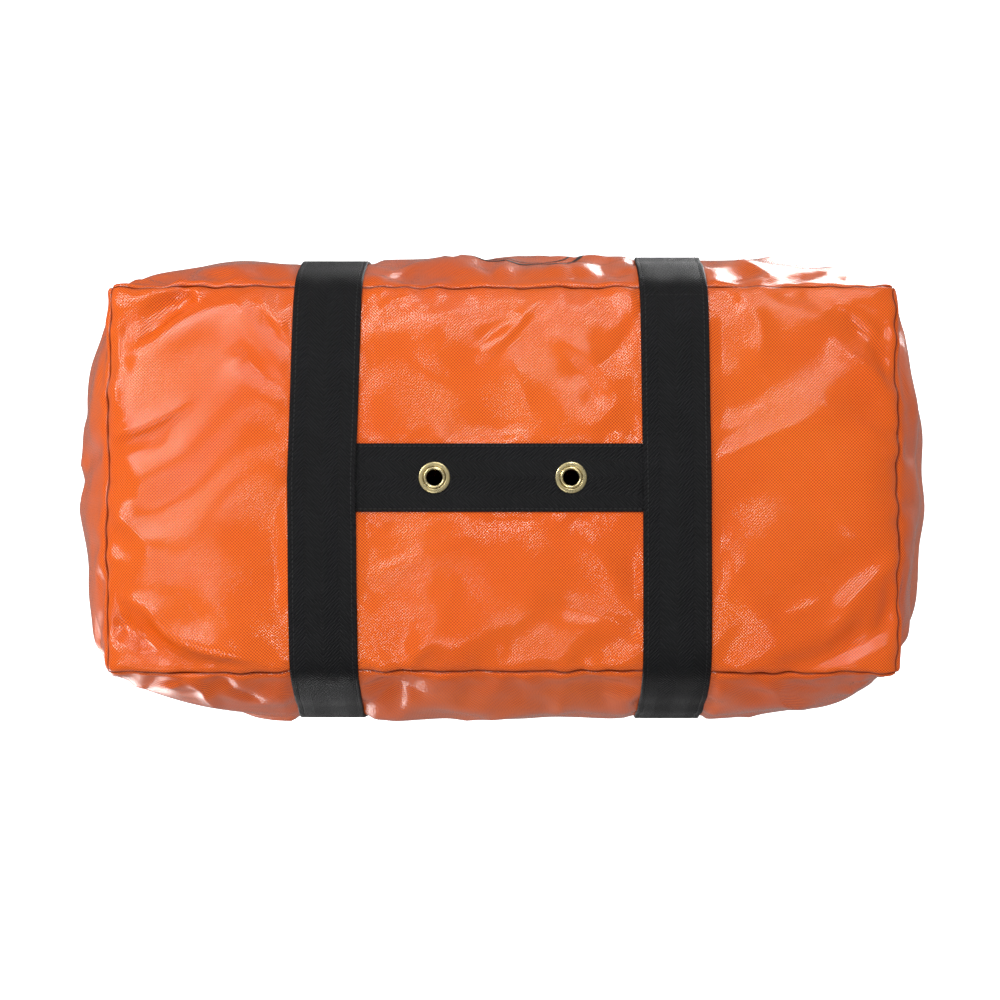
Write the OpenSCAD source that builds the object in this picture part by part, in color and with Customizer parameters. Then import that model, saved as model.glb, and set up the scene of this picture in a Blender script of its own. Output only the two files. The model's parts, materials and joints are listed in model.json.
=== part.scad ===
// Rope storage bag: a box-shaped duffel of coated fabric with a zip along its top,
// two webbing straps sewn round it, two carrying handles and two drain eyelets in its base.
// The bag stands on its base. X runs along it, Y from front to rear, Z up. Millimetres.

/* [Bag] */
// Length between the end seams
bag_l = 592; // [490:1:715]
// Depth between the front and rear seams
bag_d = 296; // [240:1:360]
// Height of the top seams above the ground
bag_h = 300; // [250:1:360]
// Thickness of the coated fabric
fabric_t = 1.0; // [0.7:0.1:1.5]
// How far the middle of the base bows below its seams
base_crown = 10; // [4:1:14]
// Width of the band that turns up along each long edge of the base
base_turn = 60; // [40:1:80]
// How far the front and the rear bow out between their seams
side_crown = 35; // [15:1:42]
// How far each end bows out between its seams
end_crown = 35; // [15:1:42]
// How far the top bows up to the zip
top_crown = 25; // [15:1:32]

/* [Webbing] */
// Width of the strap, handle and cross webbing
web_w = 50.8; // [38:0.1:60]
// Thickness of the strap and handle webbing
strap_t = 2.2; // [1.6:0.1:3]
// Thickness of the cross web on the base
cross_t = 1.4; // [1:0.1:1.8]
// Distance between the centres of the two straps
strap_spacing = 262; // [220:1:320]
// Distance from the top seams down to where the sewn straps end and the handles begin
strap_stop = 50; // [40:1:90]
// How far each end of the cross web is tucked under a strap
cross_tuck = 12; // [6:1:20]
// Length over which a strap steps down over the cross web
strap_step = 8; // [5:1:15]

/* [Handles] */
// Height of a handle's centre line above its fold
handle_rise = 210; // [170:1:240]
// Radius of the handle's bends, on its centre line
handle_bend = 65; // [45:1:80]
// Length of the folded grip
grip_l = 100; // [80:1:110]
// Width of the folded grip
grip_w = 27; // [22:0.5:32]
// Thickness of the folded grip
grip_t = 4.8; // [4.4:0.1:7]
// Angle at which a handle leans in over the bag at rest
handle_lean = 8; // [4:1:12]
// Gap between a handle and the strap that it folds on
fold_gap = 0.5; // [0.4:0.1:1]

/* [Mouth and zip] */
// Length of the fixed piece of the top at each end
yoke_l = 81; // [70:1:110]
// Gap round the edge of an opening flap
flap_gap = 1.5; // [1:0.1:2.5]
// Distance from each end of the zip to the end seam
zip_inset = 46; // [38:1:50]
// Distance from the zip's centre to the edge of the fabric
zip_reveal = 12; // [10:0.5:16]
// Distance from the zip's centre to the sewn edge of its tape
tape_reach = 20; // [17:0.5:26]
// Thickness of the zip tape
tape_t = 0.8; // [0.6:0.1:1.2]
// Depth of the zip tape's top face below the underside of the fabric
tape_drop = 0.8; // [0.7:0.1:1.2]
// Distance between one tooth and the next in a row
tooth_pitch = 4; // [3:0.5:6]
// Length of a tooth, across the zip
tooth_l = 3; // [2.4:0.1:4]
// Height of a tooth
tooth_h = 3; // [2.4:0.1:3.6]
// Slot between the two rows of teeth, in which the slider's post runs
tooth_slot = 1.2; // [1.2:0.1:2]
// Length of each fabric tab over an end of the zip
end_tab_l = 36; // [24:1:38]
// Width of each fabric tab over an end of the zip
end_tab_w = 40; // [32:1:60]

/* [Slider] */
// Length of the slider
slider_l = 16; // [12:0.5:20]
// Thickness of the slider's plates and walls
slider_wall = 1.6; // [1.2:0.1:2]
// Clearance between the slider and what runs in it
slider_clear = 0.4; // [0.3:0.05:0.6]
// Radius of the pull's cross bar
pull_pin_r = 0.9; // [0.7:0.1:1.2]
// Length of the pull from its cross bar to its tip
pull_l = 44; // [30:1:50]
// Width of the pull
pull_w = 10; // [9:0.5:14]
// Thickness of the pull
pull_t = 1.6; // [1.2:0.1:2]

/* [Eyelets] */
// Bore of each eyelet
eyelet_bore = 11.8; // [9:0.1:14.2]
// Outer diameter of each eyelet's washer and flange
eyelet_od = 23.5; // [20:0.1:28]
// Distance between the eyelets' centres
eyelet_spacing = 101; // [70:1:130]
// Wall of the eyelet's barrel and flange
eyelet_wall = 0.7; // [0.5:0.1:0.9]
// Width of the barrel's rolled lip
lip_w = 2.4; // [1.8:0.1:3]
// Thickness of the washer
washer_t = 0.9; // [0.6:0.1:1.1]

/* [Seams] */
// Width of the bound seam allowances inside the bag
binding_w = 10; // [6:1:14]
// Thickness of the bound seam allowances
binding_t = 2.2; // [1.6:0.1:3]

/* [Hidden] */

FABRIC = "orangered";
WEBBING = [0.08, 0.08, 0.09];
BRASS = [0.80, 0.72, 0.45];
TAPE = [0.12, 0.12, 0.13];
TOOTH = [0.18, 0.18, 0.19];
METAL = [0.62, 0.63, 0.65];

half_l = bag_l / 2;
half_d = bag_d / 2;
strap_x = strap_spacing / 2;
strap_top = bag_h - strap_stop;
mouth_l = bag_l - 2 * yoke_l;
zip_l = bag_l - 2 * zip_inset;
base_z = cross_t + strap_t;           // underside of the base where it is flat
seam_z = base_z + base_crown;         // height of the base's seams
mid_z = (seam_z + bag_h) / 2;
half_h = (bag_h - seam_z) / 2;
crown_z = bag_h + top_crown;          // height of the fabric beside the zip
zip_z = crown_z - fabric_t - tape_drop - tape_t / 2;   // mid-height of the tape and the teeth
row_y = tooth_slot / 2;               // where a row of teeth begins
tape_y = row_y + tooth_l;             // where the tape begins
parked_x = zip_l / 2 - slider_l / 2 - 10;              // the slider's place with the zip closed
turn_steps = 5;                       // facets across each turned edge
bow_steps = 12;                       // facets across each bowed face
strap_margin = 6;                     // straight stretch of panel left beside each strap
flat_x = (strap_x + web_w / 2 + strap_margin) / half_l;
flat_y = 1 - base_turn / half_d;
tab_clear = 0.3;                      // clearance under the zip's end tabs
binding_clear = 0.2;                  // clearance between a binding and its panels
eyelet_clear = 0.15;                  // clearance round an eyelet's barrel
$fn = 96;

// 1 across the middle, falling to 0 at u = 1 from the share k outwards
function fall(u, k) = abs(u) <= k ? 1 : 1 - pow((abs(u) - k) / (1 - k), 2);
function bow(u) = 1 - u * u;
// Stations from -1 to 1: even ones, or ones that only divide the stretches outside the share k
function even_stations(n) = [for (i = [-n / 2 : n / 2]) 2 * i / n];
function edge_stations(k, n) = concat(
    [for (i = [n : -1 : 0]) -(k + (1 - k) * i / n)],
    [for (i = [0 : n]) k + (1 - k) * i / n]);
function scaled(list, s) = [for (v = list) v * s];
function clamp(v, limit) = sign(v) * min(abs(v), limit);

// Distance that the front or the rear stands out at height z, read along its facets
side_table = [for (v = even_stations(bow_steps)) [mid_z + v * half_h, half_d + side_crown * bow(v)]];
function side_y(z) = lookup(z, side_table);
function top_z(x, y) = bag_h + top_crown * fall(x / half_l, zip_l / bag_l) * bow(y / half_d);

// A closed shell over a grid: its outer face is at height(x, y), its inner face t below it.
// The inner face stays within lim_x and lim_y, which mitres the edges that meet a neighbour.
module shell(xs, ys, height, t, lim_x, lim_y) {
    nx = len(xs);
    ny = len(ys);
    n = nx * ny;
    outer = [for (y = ys) for (x = xs) [x, y, height(x, y)]];
    inner = [for (y = ys) for (x = xs) [clamp(x, lim_x), clamp(y, lim_y), height(x, y) - t]];
    top_faces = [for (j = [0 : ny - 2]) for (i = [0 : nx - 2])
        let (a = j * nx + i, b = a + 1, c = a + nx, d = c + 1)
        each [[a, c, b], [b, c, d]]];
    rim = concat(
        [for (i = [0 : nx - 1]) i],
        [for (j = [1 : ny - 1]) j * nx + nx - 1],
        [for (i = [nx - 2 : -1 : 0]) (ny - 1) * nx + i],
        [for (j = [ny - 2 : -1 : 1]) j * nx]);
    side_faces = [for (i = [0 : len(rim) - 1])
        let (a = rim[i], b = rim[(i + 1) % len(rim)])
        each [[a, b, a + n], [b, b + n, a + n]]];
    bottom_faces = [for (f = top_faces) [f[0] + n, f[2] + n, f[1] + n]];
    polyhedron(concat(outer, inner), concat(top_faces, side_faces, bottom_faces));
}

module bowed_panel(half_x, half_y, xs, ys, crown_at) {
    shell(scaled(xs, half_x), scaled(ys, half_y),
        function(x, y) crown_at(x / half_x, y / half_y), fabric_t,
        half_x - fabric_t, half_y - fabric_t);
}

module side_panel() {
    translate([0, -half_d, mid_z])
        rotate([90, 0, 0])
            bowed_panel(half_l, half_h, edge_stations(flat_x, turn_steps), even_stations(bow_steps),
                function(u, v) side_crown * fall(u, flat_x) * bow(v));
}

module end_panel() {
    translate([half_l, 0, mid_z])
        rotate([90, 0, 90])
            bowed_panel(half_d, half_h, even_stations(bow_steps), even_stations(bow_steps),
                function(u, v) end_crown * bow(u) * bow(v));
}

// Everything in the flat middle of the base that has to make room for the eyelets
module eyelet_holes() {
    for (s = [-1, 1])
        translate([s * eyelet_spacing / 2, 0, -1])
            cylinder(h = base_z + fabric_t + 2, r = eyelet_bore / 2 + eyelet_wall + eyelet_clear);
}

module base_panel() {
    color(FABRIC)
    difference() {
        translate([0, 0, seam_z])
            mirror([0, 0, 1])
                bowed_panel(half_l, half_d,
                    edge_stations(flat_x, turn_steps), edge_stations(flat_y, turn_steps),
                    function(u, v) base_crown * fall(u, flat_x) * fall(v, flat_y));
        eyelet_holes();
    }
}

module front_panel() {
    color(FABRIC) side_panel();
}

module rear_panel() {
    color(FABRIC) mirror([0, 1, 0]) side_panel();
}

module left_end_panel() {
    color(FABRIC) mirror([1, 0, 0]) end_panel();
}

module right_end_panel() {
    color(FABRIC) end_panel();
}

// The fixed piece of the top at one end, notched for the end of the zip
module top_yoke() {
    start = mouth_l / 2 + flap_gap;
    level = zip_l / 2;
    xs = concat([start], [for (i = [0 : turn_steps]) level + (half_l - level) * i / turn_steps]);
    difference() {
        shell(xs, scaled(even_stations(bow_steps), half_d), function(x, y) top_z(x, y), fabric_t,
            half_l - fabric_t, half_d - fabric_t);
        translate([start - 1, -zip_reveal, bag_h])
            cube([level - start + 3, 2 * zip_reveal, top_crown + 1]);
    }
}

module left_top_yoke() {
    color(FABRIC) mirror([1, 0, 0]) top_yoke();
}

module right_top_yoke() {
    color(FABRIC) top_yoke();
}

// One half of the top that opens: the same profile all along the mouth
module flap() {
    ys = concat(
        [-half_d + flap_gap],
        [for (v = even_stations(bow_steps)) if (v > -1 && v * half_d < -zip_reveal - 1) v * half_d],
        [-zip_reveal]);
    rim = [for (y = ys) [y, top_z(0, y)]];
    under = [for (i = [len(rim) - 1 : -1 : 0]) rim[i] - [0, fabric_t]];
    along_x(mouth_l) polygon(concat(rim, under));
}

// Stands a Y-Z outline up and extrudes it along X, centred
module along_x(length) {
    translate([-length / 2, 0, 0])
        rotate([90, 0, 90])
            linear_extrude(height = length) children();
}

module front_flap() {
    color(FABRIC) flap();
}

module rear_flap() {
    color(FABRIC) mirror([0, 1, 0]) flap();
}

module zip_tape(x0, x1) {
    translate([x0, -tape_reach, zip_z - tape_t / 2])
        cube([x1 - x0, tape_reach - tape_y, tape_t]);
}

// A row of teeth on its cord, with its teeth on the multiples of the pitch
module teeth_row(x0, x1, phase) {
    cord_l = tooth_l * 0.4;
    tooth_w = tooth_pitch * 0.4;
    first = ceil((x0 + tooth_w) / tooth_pitch - phase);
    last = floor((x1 - tooth_w) / tooth_pitch - phase);
    edge = [for (i = [first : last]) let (c = (i + phase) * tooth_pitch) each [
        [c - tooth_w / 2, -row_y - tooth_l + cord_l],
        [c - tooth_w / 2, -row_y],
        [c + tooth_w / 2, -row_y],
        [c + tooth_w / 2, -row_y - tooth_l + cord_l]]];
    translate([0, 0, zip_z - tooth_h / 2])
        linear_extrude(height = tooth_h)
            polygon(concat(
                [[x0, -tape_y], [x0, -row_y - tooth_l + cord_l]],
                edge,
                [[x1, -row_y - tooth_l + cord_l], [x1, -tape_y]]));
}

module front_zip_tape() {
    color(TAPE) zip_tape(-mouth_l / 2, mouth_l / 2);
}

module rear_zip_tape() {
    color(TAPE) mirror([0, 1, 0]) zip_tape(-mouth_l / 2, mouth_l / 2);
}

module front_zip_teeth() {
    color(TOOTH) teeth_row(-mouth_l / 2, mouth_l / 2, 0);
}

module rear_zip_teeth() {
    color(TOOTH) mirror([0, 1, 0]) teeth_row(-mouth_l / 2, mouth_l / 2, 0.5);
}

tail_start = mouth_l / 2 + flap_gap;
stop_w = 4;
tail_end = zip_l / 2;

// The ends of both tapes, which stay shut
module zip_tail() {
    zip_tape(tail_start, tail_end);
    mirror([0, 1, 0]) zip_tape(tail_start, tail_end);
}

module tail_teeth() {
    teeth_row(tail_start, tail_end - stop_w, 0);
    mirror([0, 1, 0]) teeth_row(tail_start, tail_end - stop_w, 0.5);
}

module left_zip_tail() {
    color(TAPE) mirror([1, 0, 0]) zip_tail();
}

module right_zip_tail() {
    color(TAPE) zip_tail();
}

module left_tail_teeth() {
    color(TOOTH) mirror([1, 0, 0]) tail_teeth();
}

module right_tail_teeth() {
    color(TOOTH) tail_teeth();
}

// Two small metal clips, one on each tape, past the last tooth
module zip_closed_stop() {
    color(METAL)
    for (s = [0, 1])
        mirror([0, s, 0])
            translate([tail_end - stop_w + 0.5, -tape_y, zip_z - tooth_h / 2])
                cube([stop_w - 0.5, tooth_l, tooth_h]);
}

// One metal box across both tapes
module zip_open_stop() {
    color(METAL)
    translate([-tail_end, -tape_y, zip_z - tooth_h / 2])
        cube([stop_w - 0.5, 2 * tape_y, tooth_h]);
}

// A fabric tab folded over the end of the zip, on the yoke's slope
module zip_end_tab() {
    start = tail_end - stop_w + 1;
    shell([for (i = [0 : 4]) start + end_tab_l * i / 4],
        [for (i = [-2 : 2]) end_tab_w / 4 * i],
        function(x, y) top_z(x, y) + tab_clear + fabric_t, fabric_t, start + end_tab_l, end_tab_w);
}

module left_zip_end_tab() {
    color(FABRIC) mirror([1, 0, 0]) zip_end_tab();
}

module right_zip_end_tab() {
    color(FABRIC) zip_end_tab();
}

slider_w = 2 * (tape_y + slider_clear + slider_wall);
slider_top = tooth_h / 2 + slider_clear + slider_wall;   // above the tape's mid-height
bridge_l = 10;
bridge_w = 3;
bridge_wall = 1.2;
pull_z = slider_top + slider_clear * 0.75 + pull_pin_r;  // axis of the pull, above mid-height

module slider_plate() {
    inner = slider_top - slider_wall;
    lip_z = tape_t / 2 + slider_clear;
    nose_r = slider_l * 0.7;
    intersection() {
        union() {
            translate([-slider_l / 2, -slider_w / 2, inner])
                cube([slider_l, slider_w, slider_wall]);
            for (s = [0, 1])
                mirror([0, s, 0])
                    translate([-slider_l / 2, slider_w / 2 - slider_wall, lip_z])
                        cube([slider_l, slider_wall, slider_top - lip_z]);
        }
        // Rounded nose and tail
        translate([nose_r - slider_l / 2, 0, 0]) cylinder(h = slider_top, r = nose_r);
        translate([slider_l / 2 - nose_r, 0, 0]) cylinder(h = slider_top, r = nose_r);
    }
}

// Two flanged plates joined by a thin post, with a bridge on top for the pull
module zip_slider() {
    post_l = 3;
    post_t = tooth_slot - 0.6;
    open_h = 2 * (pull_pin_r + slider_clear * 0.75);
    color(METAL)
    translate([parked_x, 0, zip_z])
    union() {
        slider_plate();
        mirror([0, 0, 1]) slider_plate();
        translate([-post_l / 2, -post_t / 2, -slider_top])
            cube([post_l, post_t, 2 * slider_top]);
        difference() {
            translate([-bridge_l / 2, -bridge_w / 2, slider_top - 0.2])
                cube([bridge_l, bridge_w, open_h + bridge_wall + 0.2]);
            translate([-bridge_l / 2 + bridge_wall, -bridge_w, slider_top])
                cube([bridge_l - 2 * bridge_wall, 2 * bridge_w, open_h]);
        }
    }
}

// Pull that turns on its cross bar, which passes through the slider's bridge
module zip_pull() {
    arm_w = 1.6;
    eye_w = bridge_w + 2 * (slider_clear + arm_w);
    neck_x = bridge_l / 2 + 2;
    color(METAL)
    translate([parked_x, 0, zip_z + pull_z]) {
        rotate([90, 0, 0])
            cylinder(h = eye_w, r = pull_pin_r, center = true);
        for (s = [-1, 1])
            translate([0, s * (eye_w - arm_w) / 2 - arm_w / 2, -pull_t / 2])
                cube([neck_x + 1, arm_w, pull_t]);
        difference() {
            union() {
                translate([neck_x, -pull_w / 2, -pull_t / 2])
                    cube([pull_l - neck_x - pull_w / 2, pull_w, pull_t]);
                translate([pull_l - pull_w / 2, 0, -pull_t / 2])
                    cylinder(h = pull_t, r = pull_w / 2);
            }
            translate([pull_l - pull_w / 2, 0, -pull_t])
                cylinder(h = 2 * pull_t, r = pull_w / 4);
        }
    }
}

// Inner line of a strap from the middle of the base to its rear top end, in Y and Z
cross_edge = web_w / 2 + 1;
strap_line = concat(
    [[0, base_z - cross_t], [cross_edge, base_z - cross_t], [cross_edge + strap_step, base_z]],
    [for (i = [0 : turn_steps - 1])
        let (v = flat_y + (1 - flat_y) * i / turn_steps)
        [v * half_d, seam_z - base_crown * fall(v, flat_y)]],
    [for (p = side_table) if (p[0] < strap_top - 2) [p[1], p[0]]],
    [[side_y(strap_top), strap_top]]);

// A line moved sideways by t, with mitred corners
function normal(p, q) = let (d = (q - p) / norm(q - p)) [d[1], -d[0]];
function moved(line, t) = [for (i = [0 : len(line) - 1])
    let (
        a = normal(line[max(i - 1, 0)], line[max(i, 1)]),
        b = normal(line[min(i, len(line) - 2)], line[min(i + 1, len(line) - 1)]),
        m = (a + b) / norm(a + b))
    line[i] + m * t / (m * a)];
strap_face = moved(strap_line, strap_t);

module strap() {
    half = concat(strap_line, [for (i = [len(strap_face) - 1 : -1 : 0]) strap_face[i]]);
    for (s = [0, 1])
        mirror([0, s, 0])
            along_x(web_w) polygon(half);
}

module left_strap() {
    color(WEBBING) translate([-strap_x, 0, 0]) strap();
}

module right_strap() {
    color(WEBBING) translate([strap_x, 0, 0]) strap();
}

module base_cross_web() {
    reach = strap_x - web_w / 2 + cross_tuck;
    color(WEBBING)
    difference() {
        translate([-reach, -web_w / 2, base_z - cross_t])
            cube([2 * reach, web_w, cross_t]);
        eyelet_holes();
    }
}

// Fold line of the front handle, just outside the strap's top end
fold_y = -strap_face[len(strap_face) - 1][0] - fold_gap;
fold_z = strap_face[len(strap_face) - 1][1];

// One side of a handle, laid flat: a leg, a bend, and a taper down to the grip
module handle_side() {
    foot = 0.6;
    bend_x = strap_x - handle_bend;
    bend_z = handle_rise - handle_bend;
    translate([strap_x - web_w / 2, foot])
        square([web_w, bend_z - foot]);
    translate([bend_x, bend_z])
        intersection() {
            difference() {
                circle(r = handle_bend + web_w / 2);
                circle(r = handle_bend - web_w / 2);
            }
            square(handle_bend + web_w);
        }
    polygon([
        [bend_x, handle_rise - web_w / 2], [bend_x, handle_rise + web_w / 2],
        [grip_l / 2 - 1, handle_rise + grip_w / 2], [grip_l / 2 - 1, handle_rise - grip_w / 2]]);
}

// A webbing loop that stands on the two straps, folded to half its width at the grip
module handle() {
    translate([0, fold_y, fold_z])
        rotate([-handle_lean, 0, 0]) {
            rotate([90, 0, 0])
                translate([0, 0, -strap_t])
                    linear_extrude(height = strap_t) {
                        handle_side();
                        mirror([1, 0]) handle_side();
                    }
            translate([-grip_l / 2, 0, handle_rise - grip_w / 2])
                cube([grip_l, grip_t, grip_w]);
        }
}

module front_handle() {
    color(WEBBING) handle();
}

module rear_handle() {
    color(WEBBING) mirror([0, 1, 0]) handle();
}

// Barrel with its flange inside the bag and its lip rolled over the washer outside
module eyelet() {
    bore_r = eyelet_bore / 2;
    inside = base_z + fabric_t;
    under = base_z - cross_t - washer_t;
    roll_r = lip_w / 2;
    rotate_extrude() {
        translate([bore_r, under])
            square([eyelet_wall, inside - under]);
        translate([bore_r, inside])
            square([eyelet_od / 2 - bore_r, eyelet_wall]);
        intersection() {
            translate([bore_r + roll_r, under])
                circle(r = roll_r);
            translate([bore_r, under - roll_r])
                square([lip_w, roll_r]);
        }
    }
}

module washer() {
    rotate_extrude()
        translate([eyelet_bore / 2 + eyelet_wall + eyelet_clear, base_z - cross_t - washer_t])
            square([(eyelet_od - eyelet_bore) / 2 - eyelet_wall - eyelet_clear, washer_t]);
}

module left_eyelet() {
    color(BRASS) translate([-eyelet_spacing / 2, 0, 0]) eyelet();
}

module right_eyelet() {
    color(BRASS) translate([eyelet_spacing / 2, 0, 0]) eyelet();
}

module left_eyelet_washer() {
    color(BRASS) translate([-eyelet_spacing / 2, 0, 0]) washer();
}

module right_eyelet_washer() {
    color(BRASS) translate([eyelet_spacing / 2, 0, 0]) washer();
}

// Bound seam allowance that stands 45 degrees inward from a seam along X, at the front
module allowance(length) {
    start = binding_t / 2 * sqrt(2) + binding_clear;
    rotate([45, 0, 0])
        translate([-length / 2, start, -binding_t / 2])
            cube([length, binding_w, binding_t]);
}

binding_end = 2 * binding_w;          // each binding stops this far from the corners

module seam_frame(z, turned) {
    for (s = [0, 1]) {
        mirror([0, s, 0])
            translate([0, -half_d + fabric_t, z])
                mirror([0, 0, turned]) allowance(bag_l - 2 * binding_end);
        mirror([s, 0, 0])
            translate([half_l - fabric_t, 0, z])
                rotate([0, 0, 90])
                    mirror([0, 0, turned]) allowance(bag_d - 2 * binding_end);
    }
}

module base_seam_binding() {
    color(TAPE) seam_frame(seam_z + fabric_t, 0);
}

module top_seam_binding() {
    color(TAPE) seam_frame(bag_h - fabric_t, 1);
}

module corner_seam_bindings() {
    color(TAPE)
    for (sx = [0, 1])
        for (sy = [0, 1])
            mirror([sx, 0, 0])
                mirror([0, sy, 0])
                    translate([half_l - fabric_t, -half_d + fabric_t, mid_z])
                        rotate([0, -90, 0])
                            allowance(bag_h - seam_z - 2 * binding_end);
}

base_panel();
front_panel();
rear_panel();
left_end_panel();
right_end_panel();
left_top_yoke();
right_top_yoke();
front_flap();
rear_flap();
front_zip_tape();
rear_zip_tape();
left_zip_tail();
right_zip_tail();
front_zip_teeth();
rear_zip_teeth();
left_tail_teeth();
right_tail_teeth();
zip_closed_stop();
zip_open_stop();
left_zip_end_tab();
right_zip_end_tab();
zip_slider();
zip_pull();
left_strap();
right_strap();
base_cross_web();
front_handle();
rear_handle();
left_eyelet();
right_eyelet();
left_eyelet_washer();
right_eyelet_washer();
base_seam_binding();
top_seam_binding();
corner_seam_bindings();
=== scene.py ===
"""Rope storage bag: the looks. Metres, in the CAD frame: X along the bag, Y front to rear, Z up."""
import json
import math
from contextlib import contextmanager

import bmesh
import bpy
import numpy as np
from mathutils import Matrix, Vector
from mathutils.bvhtree import BVHTree


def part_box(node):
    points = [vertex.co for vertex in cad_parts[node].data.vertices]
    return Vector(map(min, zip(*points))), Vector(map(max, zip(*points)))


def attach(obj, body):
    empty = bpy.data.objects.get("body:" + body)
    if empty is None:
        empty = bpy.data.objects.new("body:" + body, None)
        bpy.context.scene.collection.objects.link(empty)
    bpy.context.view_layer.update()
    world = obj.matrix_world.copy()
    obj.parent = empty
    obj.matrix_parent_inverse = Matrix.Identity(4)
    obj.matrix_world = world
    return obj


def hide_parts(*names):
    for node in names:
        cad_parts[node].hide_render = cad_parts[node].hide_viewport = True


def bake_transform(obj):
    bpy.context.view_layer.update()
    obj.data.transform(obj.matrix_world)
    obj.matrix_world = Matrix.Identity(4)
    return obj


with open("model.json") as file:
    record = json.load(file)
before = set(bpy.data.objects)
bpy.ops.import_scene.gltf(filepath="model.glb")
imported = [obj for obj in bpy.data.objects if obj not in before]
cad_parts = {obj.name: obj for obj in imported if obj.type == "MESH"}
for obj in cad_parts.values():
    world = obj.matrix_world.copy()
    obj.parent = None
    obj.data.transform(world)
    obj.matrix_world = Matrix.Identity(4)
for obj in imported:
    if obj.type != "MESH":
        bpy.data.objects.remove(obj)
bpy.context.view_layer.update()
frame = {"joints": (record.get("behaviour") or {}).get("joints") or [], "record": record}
scene = bpy.context.scene
MM = 0.001

# ---------------------------------------------------------------- sizes, all from the frame
BASE_LO, BASE_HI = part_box("base_panel")
FRONT_LO, FRONT_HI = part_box("front_panel")
END_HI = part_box("right_end_panel")[1]
FLAP_LO, FLAP_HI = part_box("front_flap")
STRAP_LO, STRAP_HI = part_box("right_strap")
WEB_LO, WEB_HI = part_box("base_cross_web")
TAPE_LO, TAPE_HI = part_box("front_zip_tape")
TEETH_LO, TEETH_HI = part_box("front_zip_teeth")
TAIL_LO, TAIL_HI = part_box("right_zip_tail")
EYELET_LO, EYELET_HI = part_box("right_eyelet")
WASHER_LO, WASHER_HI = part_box("right_eyelet_washer")
SLIDER_LO, SLIDER_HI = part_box("zip_slider")
PULL_LO, PULL_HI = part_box("zip_pull")
HANDLE_LO, HANDLE_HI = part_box("front_handle")

HALF_L = BASE_HI.x
HALF_D = BASE_HI.y
BASE_Z = BASE_LO.z                       # outer face of the base where it is flat
SEAM_Z = FRONT_LO.z                      # base seams
TOP_Z = FRONT_HI.z                       # top seams
FABRIC_T = BASE_HI.z - SEAM_Z
SIDE_CROWN = -FRONT_LO.y - HALF_D
END_CROWN = END_HI.x - HALF_L
TOP_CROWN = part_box("left_top_yoke")[1].z - TOP_Z
MOUTH = FLAP_HI.x                        # half the length that opens
ZIP_END = TAIL_HI.x
REVEAL = -FLAP_HI.y                      # zip's centre to the edge of the fabric
WEB_W = WEB_HI.y - WEB_LO.y
CROSS_T = WEB_HI.z - WEB_LO.z
STRAP_T = BASE_Z - CROSS_T
STRAP_X = (STRAP_LO.x + STRAP_HI.x) / 2
STRAP_TOP = STRAP_HI.z
EYELET_X = (EYELET_LO.x + EYELET_HI.x) / 2
BARREL_WALL = 0.7 * MM
JOINT = {j["name"]: j for j in frame["joints"]}
MOUNT = {m["name"]: m for m in frame["record"]["mounts"]}
FOLD_Y = abs(JOINT["front_handle_swing"]["pos_m"][1])       # fold line of each handle, from the middle
BORE_R = MOUNT["right_eyelet_bore"]["dims"]["r_mm"] * MM
HOLE_R = BORE_R + BARREL_WALL + 0.15 * MM           # holes in the cloth and the web, round the barrels


def lin(r, g, b):
    """An sRGB colour from 0 to 255 as the linear values that shaders take."""
    bent = (((c / 255 + 0.055) / 1.055) ** 2.4 if c > 10 else c / 255 / 12.92 for c in (r, g, b))
    return (*bent, 1.0)


# ---------------------------------------------------------------- materials
class Nodes:
    """A small helper that adds shader nodes to a material and links them."""

    def __init__(self, name):
        self.material = bpy.data.materials.new(name)
        self.material.use_nodes = True
        self.tree = self.material.node_tree
        self.shader = next(n for n in self.tree.nodes if n.type == "BSDF_PRINCIPLED")

    def add(self, kind, **inputs):
        node = self.tree.nodes.new(kind)
        for key, value in inputs.items():
            self.feed(node.inputs[key.replace("_", " ")], value)
        return node

    def feed(self, socket, value):
        if isinstance(value, bpy.types.NodeSocket):
            self.tree.links.new(value, socket)
        else:
            socket.default_value = value

    def math(self, operation, *values):
        node = self.tree.nodes.new("ShaderNodeMath")
        node.operation = operation
        for socket, value in zip(node.inputs, values):
            self.feed(socket, value)
        return node.outputs[0]

    def mix(self, factor, a, b):
        node = self.tree.nodes.new("ShaderNodeMix")
        node.data_type = "RGBA"
        self.feed(node.inputs[0], factor)
        self.feed(node.inputs[6], a)
        self.feed(node.inputs[7], b)
        return node.outputs[2]

    def spread(self, value, low, high, to_low=0.0, to_high=1.0):
        node = self.tree.nodes.new("ShaderNodeMapRange")
        for socket, v in zip(node.inputs, (value, low, high, to_low, to_high)):
            self.feed(socket, v)
        return node.outputs[0]

    def noise(self, vector, scale, detail=3.0, rough=0.55):
        node = self.add("ShaderNodeTexNoise", Vector=vector, Scale=scale, Detail=detail, Roughness=rough)
        return node.outputs["Fac"]

    def object_space(self):
        return self.tree.nodes.new("ShaderNodeTexCoord").outputs["Object"]

    def cloth_space(self):
        """U along and V across a piece of cloth, in metres."""
        uv = self.tree.nodes.new("ShaderNodeTexCoord").outputs["UV"]
        split = self.add("ShaderNodeSeparateXYZ", Vector=uv)
        return split.outputs["X"], split.outputs["Y"]

    def ripple(self, place, pitch):
        return self.math("SINE", self.math("MULTIPLY", place, math.tau / pitch))

    def bump(self, height, distance, strength=1.0, normal=None):
        node = self.add("ShaderNodeBump", Height=height, Distance=distance, Strength=strength)
        if normal is not None:
            self.feed(node.inputs["Normal"], normal)
        return node.outputs["Normal"]

    def set(self, **inputs):
        for key, value in inputs.items():
            self.feed(self.shader.inputs[key.replace("_", " ")], value)
        return self.material


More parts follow.
